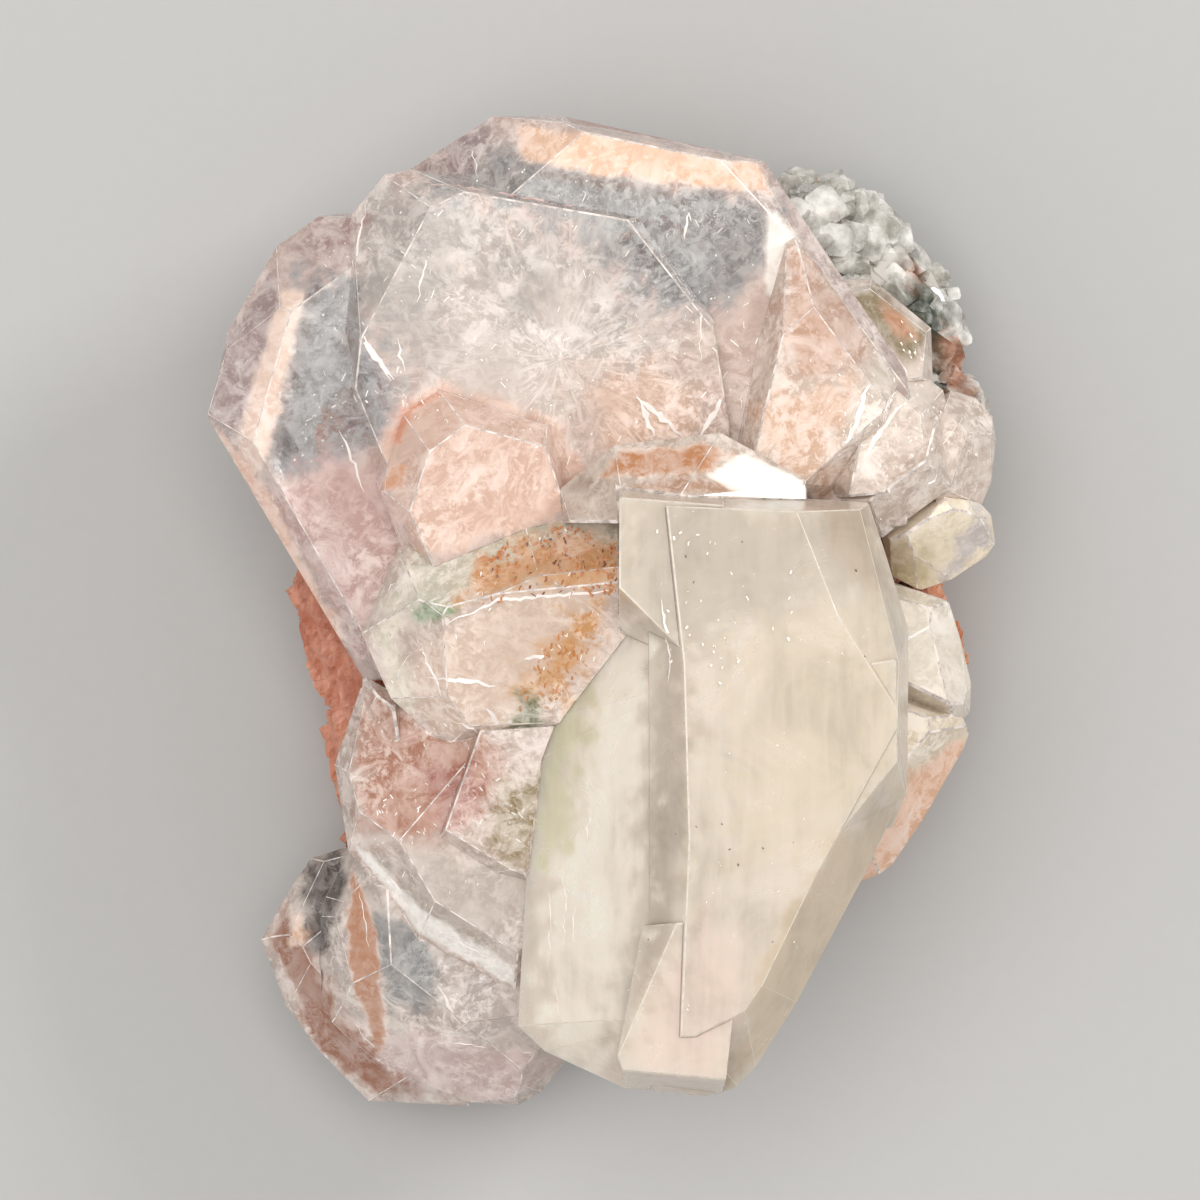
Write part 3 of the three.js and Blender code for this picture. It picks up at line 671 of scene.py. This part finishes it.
def flecks(node, count, colour, size, slimness, seed, region):
    """Small specks half sunk in the faces of a crystal that look up, all turned about the same way."""
    rng = random.Random(seed)
    tree = tree_of(node)
    corners, sides = block_crystal()
    xs, ys = [x for x, _ in region], [y for _, y in region]
    above = cad_box[1].z + 1 * MM
    vertices, faces = [], []
    while len(vertices) < count * len(corners):
        x, y = rng.uniform(min(xs), max(xs)), rng.uniform(min(ys), max(ys))
        patch = noise.noise(Vector((x, y, seed)) * 0.25)
        if patch < rng.uniform(-0.4, 0.4) or inside_by(np.array([(x, y)]), region)[0] < 0:
            continue
        hit, normal = tree.ray_cast(Vector((x * MM, y * MM, above)), Vector((0, 0, -1)))[:2]
        if hit is None or normal.z < 0.3:
            continue
        lean = Vector((rng.gauss(0, 0.9), 1, rng.gauss(0, 0.3)))
        turn = lean.to_track_quat("X", "Z")
        scale = rng.uniform(*size) * MM
        stretch = Vector((1, slimness * rng.uniform(0.7, 1.3), slimness))
        first = len(vertices)
        centre = hit + normal * (CONTACT - 0.2 * scale * slimness)
        vertices += [centre + turn @ (corner * stretch * scale) for corner in corners]
        faces += [[first + i for i in side] for side in sides]
    name = f"{node}_flecks_{seed}"
    piece_of(name, vertices, faces, plain_inclusion(name, colour, 0.3))


# ZONES OF COLOUR
# Each is an outline in mm in the plan, its soft edge in mm, its colour and its cover

CROWN_ZONES = [
    # The haze over the whole of it
    ([(-16.1, 28.9), (-10.2, 28.6), (-6.2, 26.4), (-0.2, 23.9), (3.1, 20.3), (6.8, 17.9),
      (3.1, 14.9), (-3.2, 9.6), (-6.8, 9.6), (-10.8, 15.6), (-14.1, 15.6), (-16.7, 20.9)],
     2.0, tint(238, 228, 220), 0.45),
    # The see-through parts along the top and down the left side
    ([(-10.8, 30.9), (-5.5, 31.0), (2.5, 29.3), (11.1, 27.6), (11.0, 23.9), (8.1, 20.1),
      (3.1, 20.9), (-0.2, 24.6), (-5.8, 27.2), (-11.5, 27.9)], 1.3, tint(212, 212, 210), 0.12),
    ([(-19.6, 23.5), (-16.8, 22.0), (-16.7, 19.0), (-13.8, 15.3), (-14.5, 12.3), (-18.2, 9.0),
      (-22.7, 9.1), (-21.1, 16.8), (-20.4, 21.0)], 1.0, tint(204, 208, 212), 0.06),
    # The cloud at its heart and below
    ([(-10.8, 17.6), (-9.8, 23.5), (-7.5, 22.6), (-5.5, 18.9), (-2.8, 22.9), (-0.8, 21.6),
      (-0.2, 18.3), (3.8, 18.9), (10.5, 14.3), (7.8, 9.0), (-2.8, 6.3), (-12.1, 9.6)],
     1.8, tint(240, 226, 216), 0.76),
    ([(-2.8, 16.3), (6.5, 18.9), (12.4, 20.9), (13.1, 9.6), (2.5, 7.6), (-2.8, 11.0)],
     1.5, tint(232, 208, 194), 0.72),
    ([(-0.8, 14.9), (3.1, 16.9), (6.5, 14.3), (5.8, 11.0), (0.5, 11.0)],
     0.8, tint(242, 208, 186), 0.78),
    # The pinkish sides of it next to the small crystals
    ([(9.2, 21.0), (13.2, 25.0), (15.2, 14.3), (10.5, 9.6), (6.5, 9.6)], 0.8,
     tint(222, 196, 182), 0.95),
    # The mauve lower left
    ([(-22.8, 7.7), (-18.2, 11.0), (-13.5, 9.6), (-12.2, 3.6), (-16.2, -3.0)],
     1.2, tint(226, 190, 182), 0.85),
    # The peach band under the top edge, a painted reflection of the stilbite in the bevel facets
    ([(-5.9, 32.6), (-0.2, 32.0), (3.0, 31.5), (10.6, 30.0), (11.3, 28.0), (3.2, 28.8),
      (-5.3, 30.1)], 0.25, PEACH_REFLECTION, 1.15),
    # The brown facet over it
    ([(-2.9, 33.7), (2.5, 33.3), (9.2, 32.0), (11.0, 30.5), (10.4, 30.4), (3.0, 31.9),
      (-2.2, 32.7)], 0.12, tint(160, 120, 106), 2),
    # The mauve corners
    ([(-12.6, 29.4), (-9.9, 32.1), (-7.0, 33.3), (-8.2, 29.7)], 0.5, tint(176, 152, 150), 0.7),
    ([(-21.2, 24.4), (-18.6, 26.7), (-15.7, 26.5), (-17.6, 23.0)], 0.6, tint(196, 164, 158), 0.75),
    # The peach band down the left side, a painted reflection of the stilbite in the bevel facets, and the
    # duller facet outside it
    ([(-21.6, 21.7), (-19.8, 21.7), (-20.9, 16.4), (-22.8, 9.0), (-24.5, 11.1), (-22.8, 17.7)],
     0.3, tint(244, 214, 196), 1.1),
    ([(-22.1, 23.2), (-21.7, 21.1), (-24.7, 11.4), (-26.6, 13.4), (-25.4, 18.1)],
     0.25, tint(172, 148, 146), 1),
    ([(-24.7, 11.4), (-22.8, 9.0), (-17.3, -1.7), (-18.3, -1.7), (-26.0, 12.4)],
     0.3, tint(236, 196, 176), 1.3),
    # The small crystal set in at the bottom: pink, with orange-brown facets on its left
    ([(-15.0, 10.9), (-13.2, 14.1), (-10.5, 15.3), (-2.8, 12.9), (-0.2, 7.9), (-4.8, 5.6),
      (-12.4, 3.6)], 0.4, tint(236, 198, 178), 0.95),
    ([(-14.2, 11.5), (-13.3, 13.7), (-10.7, 15.0), (-10.4, 14.8), (-12.6, 13.4), (-13.4, 11.3)],
     0.12, tint(204, 140, 110), 1.5),
    ([(-14.8, 8.1), (-14.1, 9.9), (-12.9, 9.9), (-13.3, 8.3)], 0.12, tint(216, 158, 124), 1.5),
    # The bright facet at the right end, a painted highlight where it catches the light
    ([(11.0, 27.2), (13.3, 25.0), (12.8, 23.8), (11.7, 20.9), (11.0, 21.3), (10.8, 24.8)],
     0.15, tint(250, 240, 230), 1.1),
]

SHOULDER_ZONES = [
    # Salmon in the middle, and olive and orange along the upper right
    ([(12.4, 24.2), (17.8, 20.9), (18.4, 16.9), (13.1, 15.6), (11.4, 18.9)],
     1.0, tint(220, 178, 154), 0.88),
    ([(15.9, 22.5), (18.0, 22.4), (21.7, 19.0), (21.6, 17.7), (19.9, 16.8), (17.2, 19.7)],
     0.5, tint(160, 142, 110), 0.9),
    ([(18.5, 21.0), (20.2, 20.2), (20.9, 18.7), (19.3, 18.5)], 0.4, tint(206, 150, 112), 0.9),
    # A plain peach facet at the bottom, and a whiter part to the right of it
    ([(9.1, 14.3), (17.1, 15.6), (15.8, 11.6), (14.4, 7.6), (10.5, 11.0)],
     1.0, tint(226, 188, 162), 1.1),
    ([(17.8, 17.6), (22.8, 15.6), (19.8, 12.3), (16.5, 9.6), (16.2, 11.6)],
     0.6, tint(240, 222, 206), 0.9),
]

WINDOW_ZONES = [
    # The upper face: greenish, with the orange stilbite behind it
    ([(-14.7, -0.3), (-12.7, 4.3), (-6.1, 6.9), (1.3, 7.6), (1.3, 2.0), (-6.8, 1.6)],
     0.5, tint(234, 226, 204), 0.85),
    ([(-9.8, 1.0), (-8.1, 3.6), (-2.8, 5.6), (1.3, 4.9), (1.3, 1.8), (-5.5, 1.5)],
     0.8, tint(224, 166, 112), 1.05),
    ([(-12.7, 0.0), (-11.4, 1.0), (-9.8, 0.2), (-10.8, -0.9)], 0.3, tint(178, 196, 158), 0.75),
    # The lower face: peach, with an orange glow at its right
    ([(-13.4, -6.9), (-12.1, -2.3), (-6.8, 1.3), (-0.2, 1.6), (-2.8, -5.6), (-5.5, -8.6)],
     0.5, tint(244, 216, 196), 0.95),
    ([(-5.5, -5.0), (-2.8, -1.7), (-0.2, 1.0), (-0.8, -2.3), (-3.2, -6.0)],
     1.6, tint(226, 168, 108), 1),
    ([(-6.8, -7.9), (-5.5, -5.6), (-3.5, -5.6), (-4.1, -8.3)], 0.6, tint(150, 152, 112), 0.7),
    # The pale rim down the left
    ([(-15.3, -1.7), (-13.1, 3.6), (-12.1, 3.0), (-13.7, -1.7), (-12.1, -6.3), (-13.4, -7.0)],
     0.4, tint(246, 232, 212), 1),
]

SHELF_ZONES = [
    # Salmon with a redder middle, then olive at the right
    ([(-16.2, -5.0), (-6.8, -9.0), (-6.8, -12.4), (-11.5, -15.0), (-16.2, -15.0)], 0.9,
     tint(208, 150, 124), 0.78),
    ([(-11.8, -10.4), (-8.8, -9.7), (-7.5, -12.4), (-10.8, -14.4)], 0.9, tint(196, 124, 104), 0.7),
    ([(-7.5, -11.6), (-2.8, -9.7), (-2.8, -17.6), (-6.8, -17.0)], 0.9, tint(170, 144, 98), 0.78),
    # The pale lower part, and the white bevel under it
    ([(-15.5, -16.4), (-11.5, -15.7), (-2.8, -17.7), (-3.8, -21.7), (-6.2, -23.7), (-12.2, -20.4)],
     0.8, tint(228, 212, 198), 0.75),
    ([(-16.8, -15.2), (-16.2, -15.6), (-11.7, -19.9), (-5.8, -23.5), (-5.9, -24.8), (-12.2, -21.3)],
     0.12, tint(252, 246, 238), 1.15),
]

FOOT_ZONES = [
    # The brown rim, with a paler top, and beside it a see-through part darkened with painted shade
    ([(-22.9, -22.0), (-21.5, -19.3), (-19.4, -22.7), (-17.4, -27.0), (-14.5, -29.8), (-9.0, -33.2),
      (-15.7, -32.5), (-19.8, -28.8)], 0.6, tint(150, 102, 80), 1.6),
    ([(-21.0, -20.3), (-19.1, -20.1), (-19.2, -22.3), (-21.0, -22.3)], 0.2, tint(232, 192, 166), 1.1),
    ([(-20.4, -17.2), (-17.9, -15.9), (-17.4, -17.9), (-18.9, -23.3), (-19.9, -22.6)],
     0.4, tint(92, 78, 72), 0.8),
    # The clear middle
    ([(-15.0, -20.5), (-11.6, -21.2), (-10.9, -25.9), (-14.3, -26.6)], 0.7, tint(206, 204, 202), 0.3),
    # The brown splinter down from the shelf
    ([(-16.9, -16.9), (-16.2, -18.0), (-15.2, -21.3), (-14.5, -28.5), (-15.2, -29.5), (-17.2, -23.2)],
     0.15, tint(184, 132, 102), 1.65),
    # Pink along the bottom, and whiter at the right
    ([(-15.0, -30.0), (-13.6, -27.9), (-8.3, -28.6), (-2.9, -30.1), (-6.2, -32.9),
      (-12.3, -32.3)], 0.5, tint(218, 192, 186), 1),
    ([(-10.9, -23.2), (-5.5, -24.5), (-3.5, -28.5), (-8.9, -28.5)], 0.6, tint(232, 218, 210), 0.7),
]

RIDGE_ZONES = [
    # The brown facet, and to the right of it the bright white one, a painted highlight
    ([(-0.8, 8.9), (1.5, 10.8), (7.4, 11.2), (8.7, 10.6), (6.4, 9.3)],
     0.25, tint(188, 128, 84), 1.45),
    ([(6.9, 9.1), (9.3, 10.7), (13.2, 8.8), (13.2, 7.4), (9.2, 8.0)],
     0.08, tint(254, 251, 244), 2),
    # The duller front
    ([(-2.4, 8.1), (-1.5, 9.0), (-0.2, 9.0), (-0.2, 8.0)], 0.3, tint(212, 186, 166), 0.7),
    ([(1.1, 8.4), (5.8, 9.3), (8.7, 8.0), (1.5, 8.0)], 0.3, tint(226, 178, 148), 0.7),
]

MILKY_ZONES = [
    # Greyer above the soft line across it
    ([(1.1, 8.8), (18.2, 7.5), (19.8, 1.0), (16.2, 1.0), (5.7, -2.9), (-0.2, -1.6)],
     2.0, tint(207, 196, 183), 1),
    ([(14.3, 7.2), (17.4, 7.2), (19.9, -0.3), (18.2, 1.0), (15.3, 3.6)],
     0.5, tint(203, 188, 172), 1),
    # Cream to the right
    ([(9.0, -1.6), (19.5, 1.0), (19.8, -11.5), (14.2, -15.4), (8.3, -15.4)],
     2.2, tint(225, 213, 196), 1),
    # Pinkish white at the bottom
    ([(2.4, -25.2), (6.4, -20.0), (10.3, -22.6), (8.3, -31.1), (1.1, -30.8)],
     1.8, tint(232, 215, 204), 1),
    # Painted shade: darker along the left of the ridge line, the soft shadow of the step there
    ([(3.1, -2.9), (5.7, -1.6), (5.3, -12.1), (4.9, -21.0), (2.4, -26.5), (1.3, -28.7),
      (2.4, -18.7)], 1.4, tint(204, 191, 178), 1),
    # The clearer left side, with a yellow-green tint along its edge
    ([(-3.8, -12.2), (-0.2, 1.0), (3.1, -1.6), (2.5, -18.8), (-0.2, -30.7), (-3.8, -28.8)],
     1.2, tint(252, 243, 232), 1),
    ([(-4.5, -8.3), (-1.5, -2.3), (-0.8, -5.6), (-2.5, -15.5), (-4.1, -16.2)],
     1.2, tint(224, 218, 192), 1),
    # The facets down the lower right
    ([(19.9, -11.5), (14.8, -15.0), (10.9, -21.6), (8.6, -28.6), (7.9, -31.3), (12.3, -28.0),
      (18.3, -17.5)], 0.5, tint(216, 200, 180), 1),
]

EDGE_UPPER_ZONES = [
    # Yellower at the bottom, and whiter at the tip
    ([(18.6, 3.7), (21.6, 4.7), (22.3, 1.7), (19.0, 1.3)], 0.6, tint(222, 202, 158), 1),
    ([(22.0, 1.0), (26.0, 5.0), (26.7, 9.0), (24.0, 5.0)], 0.6, CLOUD_WHITE, 0.8),
]

EDGE_LOWER_ZONES = [
    ([(18.6, -12.5), (25.0, -7.8), (22.7, -16.5), (16.6, -18.5)], 0.6, tint(232, 182, 148), 1.3),
]

DRUSE_ZONES = [
    # Dark green low down, and peach on the outer edge
    ([(20.4, 22.2), (22.1, 22.0), (23.4, 19.5), (24.0, 15.8), (22.1, 14.8), (20.4, 19.2)],
     0.5, tint(70, 84, 58), 1),
    ([(20.4, 23.8), (21.5, 23.4), (21.7, 22.2), (20.7, 22.4)], 0.3, tint(232, 172, 138), 1),
    ([(22.6, 18.9), (24.2, 18.9), (25.8, 13.1), (23.8, 12.8)], 0.4, tint(232, 166, 128), 1),
]

STILBITE_ZONES = [
    # Painted shade: greyer where it lies under the crown, and darkest behind the crown's see-through top,
    # for the dark gap seen through it
    ([(-16, 8), (-12, 24), (2, 30), (14, 26), (20, 12), (14, 2), (0, 6), (-8, 4)],
     2.5, tint(150, 132, 126), 1),
    ([(-10, 20), (-4, 30), (12, 28), (14, 20), (2, 18)], 2.0, tint(66, 68, 72), 1),
    # Orange-brown down the right side
    ([(21.9, 5.1), (26.3, 5.1), (26.3, -7.2), (21.9, -7.2)], 1.0, tint(200, 126, 70), 1),
]


# MATERIALS OF THE PIECES

CROWN_GLASS = clear_apophyllite("clear_apophyllite_crown", (0.95, 0.80, 0.76), 9, CROWN_HEART, 2.2)
PINK_GLASS = clear_apophyllite("clear_apophyllite_pink", (0.95, 0.80, 0.76), 9, SMALL_HEART, 7.1)
PALE_GLASS = clear_apophyllite("clear_apophyllite_pale", (0.93, 0.86, 0.78), 8, SMALL_HEART, 1.3)
YELLOW_GLASS = clear_apophyllite("clear_apophyllite_yellow", (0.95, 0.88, 0.70), 14, SMALL_HEART, 4.4)
WORN = chipped_edge("worn_edges", tint(252, 240, 232), 0.4)
MILKY_WORN = chipped_edge("worn_milky_edges", tint(224, 212, 197), 0.0)
PINK_NEEDLES = plain_inclusion("pink_needles", tint(240, 206, 196), 0.35)
WHITE_NEEDLES = plain_inclusion("white_needles", tint(250, 240, 234), 0.35)
ORANGE_NEEDLES = plain_inclusion("stilbite_inclusions", under_glass(tint(206, 126, 78)), 0.4)
STILBITE = stilbite()
MILKY = milky_apophyllite()


# THE PIECES

# Each clear crystal's node, glass, (colour, cover) of its veils, zones and number of needles
CLEAR_CRYSTALS = [
    ("apophyllite_ridge", PALE_GLASS, (tint(236, 214, 196), 0.75), RIDGE_ZONES, 60),
    ("apophyllite_window", PALE_GLASS, (tint(240, 216, 202), 0.8), WINDOW_ZONES, 700),
    ("apophyllite_shelf", PALE_GLASS, (tint(238, 214, 200), 0.75), SHELF_ZONES, 700),
    (CROWN, CROWN_GLASS, (PINK, 0.62), CROWN_ZONES, 5000),
    ("apophyllite_shoulder", PINK_GLASS, (tint(234, 212, 196), 0.85), SHOULDER_ZONES, 1200),
    ("apophyllite_edge_upper", YELLOW_GLASS, (tint(254, 236, 206), 1.05), EDGE_UPPER_ZONES, 200),
    ("apophyllite_edge_middle", PALE_GLASS, (tint(246, 234, 216), 1.02), [], 200),
    ("apophyllite_edge_lower", PALE_GLASS, (tint(236, 218, 192), 1.02), EDGE_LOWER_ZONES, 200),
    ("apophyllite_foot", PINK_GLASS, (tint(236, 218, 206), 0.66), FOOT_ZONES, 500),
]
crystal(MILKY_BLOCK, MILKY, MILKY_WORN, (tint(226, 215, 203), 1), MILKY_ZONES, 5)
for order, (name, glass, base, zones, needles) in enumerate(CLEAR_CRYSTALS):
    crystal(name, glass, WORN, base, zones, order)
    heart = CROWN_HEART if name == CROWN else SMALL_HEART
    slivers(name + "_needles", name, needles, heart, (0.3, 1.6), (0.012, 0.035), WHITE_NEEDLES, order)

# The stilbite that shows through the window crystal, and painted glints in the crown: white needles where
# it sparkles
WINDOW_STILBITE = [(-10.1, 0.7), (-8.1, 3.9), (-2.8, 5.7), (1.3, 5.7), (1.3, 1.6)]
WINDOW_GLOW = [(-6.8, -6.9), (-3.5, -1.7), (0.1, 1.0), (-0.8, -3.0), (-3.2, -6.0)]
slivers("window_stilbite", "apophyllite_window", 900, WINDOW_STILBITE[2], (0.4, 1.8), (0.03, 0.09),
        ORANGE_NEEDLES, 31, region=WINDOW_STILBITE)
slivers("window_glow", "apophyllite_window", 500, WINDOW_GLOW[2], (0.3, 1.4), (0.03, 0.08),
        ORANGE_NEEDLES, 32, region=WINDOW_GLOW)
CROWN_SPARKLE = [(-1.0, 15.2), (2.5, 16.1), (6.5, 14.3), (5.8, 10.6), (-0.2, 10.6)]
slivers("crown_sparkle", CROWN, 500, CROWN_SPARKLE[1], (0.15, 0.7), (0.04, 0.12), WHITE_NEEDLES, 33,
        region=CROWN_SPARKLE)

# Each crack's name, its crystal, its width in mm, its look, its seed and its lines
CRACKS = [
    ("window_cracks", "apophyllite_window", 0.36, WHITE_NEEDLES, 41, [
        [(-7.7, -6.2), (-6.8, -7.1), (-5.9, -8.1)], [(-6.5, -7.9), (-4.8, -7.3), (-3.5, -8.1)],
        [(-12.5, -4.0), (-9.8, -4.2), (-7.1, -4.7)], [(-5.2, -2.9), (-3.8, -2.7)],
        [(-10.8, -6.7), (-8.8, -7.2), (-6.8, -8.4)], [(-12.1, -1.7), (-11.4, -3.5), (-10.4, -5.6)],
    ]),
    ("milky_cracks", MILKY_BLOCK, 0.2, WHITE_NEEDLES, 42, [
        [(-1.6, -8.6), (-0.4, -8.9), (0.9, -9.3)], [(-0.2, -4.9), (2.1, -4.7)],
        [(3.8, 1.0), (4.5, -3.0), (4.3, -4.9)],
    ]),
    ("crown_scratches", CROWN, 0.14, WHITE_NEEDLES, 43, [
        [(-8.8, 31.0), (-8.3, 30.0), (-8.4, 28.7)], [(-17.5, 12.3), (-16.7, 10.4), (-16.0, 8.2)],
        [(-11.6, 23.5), (-12.1, 22.1), (-12.3, 20.9)], [(-15.1, 24.5), (-14.3, 23.5)],
        [(5.7, 26.8), (5.4, 25.0)], [(-13.6, 18.3), (-13.2, 16.1)], [(-16.2, 19.0), (-14.0, 15.6)],
    ]),
    ("crown_edges_and_glints", CROWN, 0.34, WHITE_NEEDLES, 48, [
        [(-15.7, 27.7), (-16.3, 24.2), (-16.9, 20.4)], [(-16.9, 20.0), (-15.5, 17.7), (-13.9, 15.6)],
        # Painted glints: bright white flat facets in the middle of the crown
        [(2.2, 14.5), (3.8, 13.3), (5.4, 11.8)], [(2.5, 14.4), (3.0, 12.9), (3.5, 11.9)],
        [(6.5, 11.9), (7.5, 13.6), (8.1, 15.1)],
    ]),
    ("crown_pink_edge", CROWN, 0.34, PINK_NEEDLES, 49, [
        [(-14.5, 29.2), (-10.2, 28.4), (-5.5, 27.6), (-1.5, 26.9), (2.1, 26.2)],
    ]),
    ("crown_plate_edge", CROWN, 0.14, WHITE_NEEDLES, 50, [
        [(2.1, 26.2), (4.3, 23.3), (6.5, 20.3), (6.5, 16.9)],
    ]),
    ("milky_top_edge", MILKY_BLOCK, 0.5, WHITE_NEEDLES, 51, [
        [(1.3, 7.8), (5.1, 7.7), (9.0, 7.6), (13.3, 7.4)],
    ]),
    ("window_edges", "apophyllite_window", 0.2, WHITE_NEEDLES, 52, [
        [(-15.1, -0.6), (-14.1, 1.6), (-12.1, 3.9)], [(-15.7, -1.7), (-14.5, -5.6), (-10.3, -8.4)],
        [(-13.3, -5.0), (-10.3, -8.6), (-4.2, -8.4)], [(-11.8, -1.7), (-13.4, -3.5), (-13.7, -5.6)],
        [(-11.4, 3.6), (-8.8, 5.6), (-4.1, 6.8)], [(-10.5, -0.7), (-6.8, 1.0), (1.0, 1.6)],
    ]),
    ("shoulder_cracks", "apophyllite_shoulder", 0.3, WHITE_NEEDLES, 44, [
        [(18.2, 17.8), (17.6, 15.2), (16.8, 12.6), (15.3, 10.1), (14.6, 8.2)],
        [(20.2, 14.3), (18.5, 12.3), (17.3, 10.2)], [(22.4, 9.7), (21.1, 7.7)],
    ]),
    ("milky_fibres", MILKY_BLOCK, 0.16, WHITE_NEEDLES, 45, [
        [(-3.6, -17.5), (-3.4, -20.8), (-3.6, -24.8)], [(-2.7, -16.2), (-2.4, -18.8), (-2.6, -22.8)],
        [(-3.1, -24.1), (-2.8, -27.4)], [(-1.8, -18.8), (-1.9, -22.1)], [(-0.8, -12.2), (-1.0, -16.2)],
    ]),
    ("shelf_cracks", "apophyllite_shelf", 0.2, WHITE_NEEDLES, 46, [
        [(-12.2, -20.0), (-9.8, -21.7), (-6.0, -23.6)], [(-15.6, -15.7), (-14.0, -17.7), (-11.9, -19.6)],
        [(-6.8, -23.7), (-4.8, -22.4), (-3.8, -20.4)], [(-8.6, -24.0), (-6.8, -24.7)],
    ]),
    ("foot_cracks", "apophyllite_foot", 0.16, WHITE_NEEDLES, 47, [
        [(-11.0, -24.8), (-10.1, -26.5), (-9.2, -27.9)], [(-16.3, -18.1), (-15.5, -22.5)],
        [(-16.8, -27.2), (-15.2, -29.6)], [(-14.3, -29.7), (-10.3, -28.6), (-4.2, -29.4)],
    ]),
]
for name, node, width, look, seed, lines in CRACKS:
    cracks(name, node, lines, width, look, seed)

# Where the specks lie
MILKY_FACE = [(1.8, 7.5), (16.9, 6.9), (19.2, -5.6), (10.3, -28.6), (1.8, -28.6)]
MILKY_UPPER = [(3.1, 5.6), (12.9, 5.6), (12.9, -4.9), (5.0, -6.9), (1.8, -1.6)]
CROWN_FACE = [(-18.2, 25.0), (-10.2, 30.3), (10.5, 27.0), (10.5, 13.0), (-0.2, 9.0),
              (-13.5, 13.0), (-20.8, 9.6)]
SHOULDER_FACE = [(11.8, 22.3), (18.5, 19.0), (25.2, 11.0), (21.8, 5.0), (15.8, 7.6)]
WINDOW_FACE = [(-15.2, -2.3), (-11.4, 4.3), (1.1, 7.6), (0.5, -1.7), (-5.5, -8.6),
               (-11.4, -8.3)]
SHELF_FACE = [(-16.2, -5.7), (-4.2, -9.7), (-3.5, -21.0), (-6.2, -24.4), (-14.8, -17.7)]
# Each group of specks: its crystal, how many, their colour, their half length in mm, how slim they are, its
# seed and its region
FLECKS = [
    (MILKY_BLOCK, 40, FLECK_WHITE, (0.04, 0.13), 0.5, 61, MILKY_UPPER),
    (MILKY_BLOCK, 40, FLECK_WHITE, (0.03, 0.07), 0.6, 62, MILKY_FACE),
    (MILKY_BLOCK, 14, FLECK_DARK, (0.03, 0.09), 0.6, 63, MILKY_FACE),
    (CROWN, 130, FLECK_WHITE, (0.08, 0.36), 0.10, 64, CROWN_FACE),
    (CROWN, 170, FLECK_WHITE, (0.03, 0.09), 0.5, 65, CROWN_FACE),
    ("apophyllite_window", 200, STILBITE_ORANGE, (0.06, 0.3), 0.25, 67, WINDOW_STILBITE),
    ("apophyllite_window", 60, STILBITE_BROWN, (0.05, 0.2), 0.3, 68, WINDOW_STILBITE),
    ("apophyllite_window", 120, STILBITE_GOLD, (0.05, 0.22), 0.25, 69, WINDOW_GLOW),
    ("apophyllite_window", 90, FLECK_WHITE, (0.04, 0.2), 0.2, 70, WINDOW_FACE),
    ("apophyllite_shelf", 90, FLECK_WHITE, (0.04, 0.2), 0.2, 71, SHELF_FACE),
    ("apophyllite_shoulder", 110, FLECK_WHITE, (0.04, 0.14), 0.35, 66, SHOULDER_FACE),
]
for row in FLECKS:
    flecks(*row)

stilbite_mass()
druse_crystals()
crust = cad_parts["druse_crust"]
crust.data.materials.clear()
crust.data.materials.append(crust_look())


# FLOOR, LIGHT AND CAMERA

FLOOR_SIZE = 3
WORLD_LIGHT = 0.5
LENS = 306
SENSOR = 36
CAMERA_PLACE = (-0.183 * MM, 0.983 * MM, 700 * MM)
LIGHT_BOUNCES = 8
DIFFUSE_BOUNCES = 3


def softbox(name, azimuth, elevation, distance, size, watts, colour=(1, 1, 1)):
    """A flat light that points at the specimen, by its angles in degrees and its distance in metres."""
    light = bpy.data.lights.new(name, "AREA")
    light.shape = "RECTANGLE"
    light.size, light.size_y = size
    light.energy = watts
    light.color = colour
    lamp = bpy.data.objects.new(name, light)
    a, e = math.radians(azimuth), math.radians(elevation)
    way = Vector((math.cos(a) * math.cos(e), math.sin(a) * math.cos(e), math.sin(e)))
    lamp.location = way * distance
    lamp.rotation_euler = way.to_track_quat("Z", "Y").to_euler()
    bpy.context.scene.collection.objects.link(lamp)


bpy.ops.mesh.primitive_plane_add(size=FLOOR_SIZE, location=(0, 0, 0))
floor = bpy.context.object
floor.name = "floor"
floor.data.materials.append(floor_look())

softbox("key", 31, 35, 0.9, (0.25, 0.2), 3.2)
softbox("fill", 200, 50, 1.0, (0.8, 0.8), 2.4)
softbox("overhead", 120, 82, 1.5, (1.1, 1.1), 11.5, (1.0, 0.985, 0.96))

world = bpy.data.worlds.new("studio")
bpy.context.scene.world = world
world.use_nodes = True
studio = world.node_tree.nodes["Background"]
studio.inputs["Color"].default_value = (1, 1, 1, 1)
studio.inputs["Strength"].default_value = WORLD_LIGHT

camera = bpy.data.objects.new("camera", bpy.data.cameras.new("camera"))
camera.data.sensor_width = SENSOR
camera.data.lens = LENS
camera.location = CAMERA_PLACE
bpy.context.scene.collection.objects.link(camera)
bpy.context.scene.camera = camera
bpy.context.scene.view_settings.view_transform = "Standard"
bpy.context.scene.cycles.max_bounces = LIGHT_BOUNCES
bpy.context.scene.cycles.transmission_bounces = LIGHT_BOUNCES
bpy.context.scene.cycles.diffuse_bounces = DIFFUSE_BOUNCES
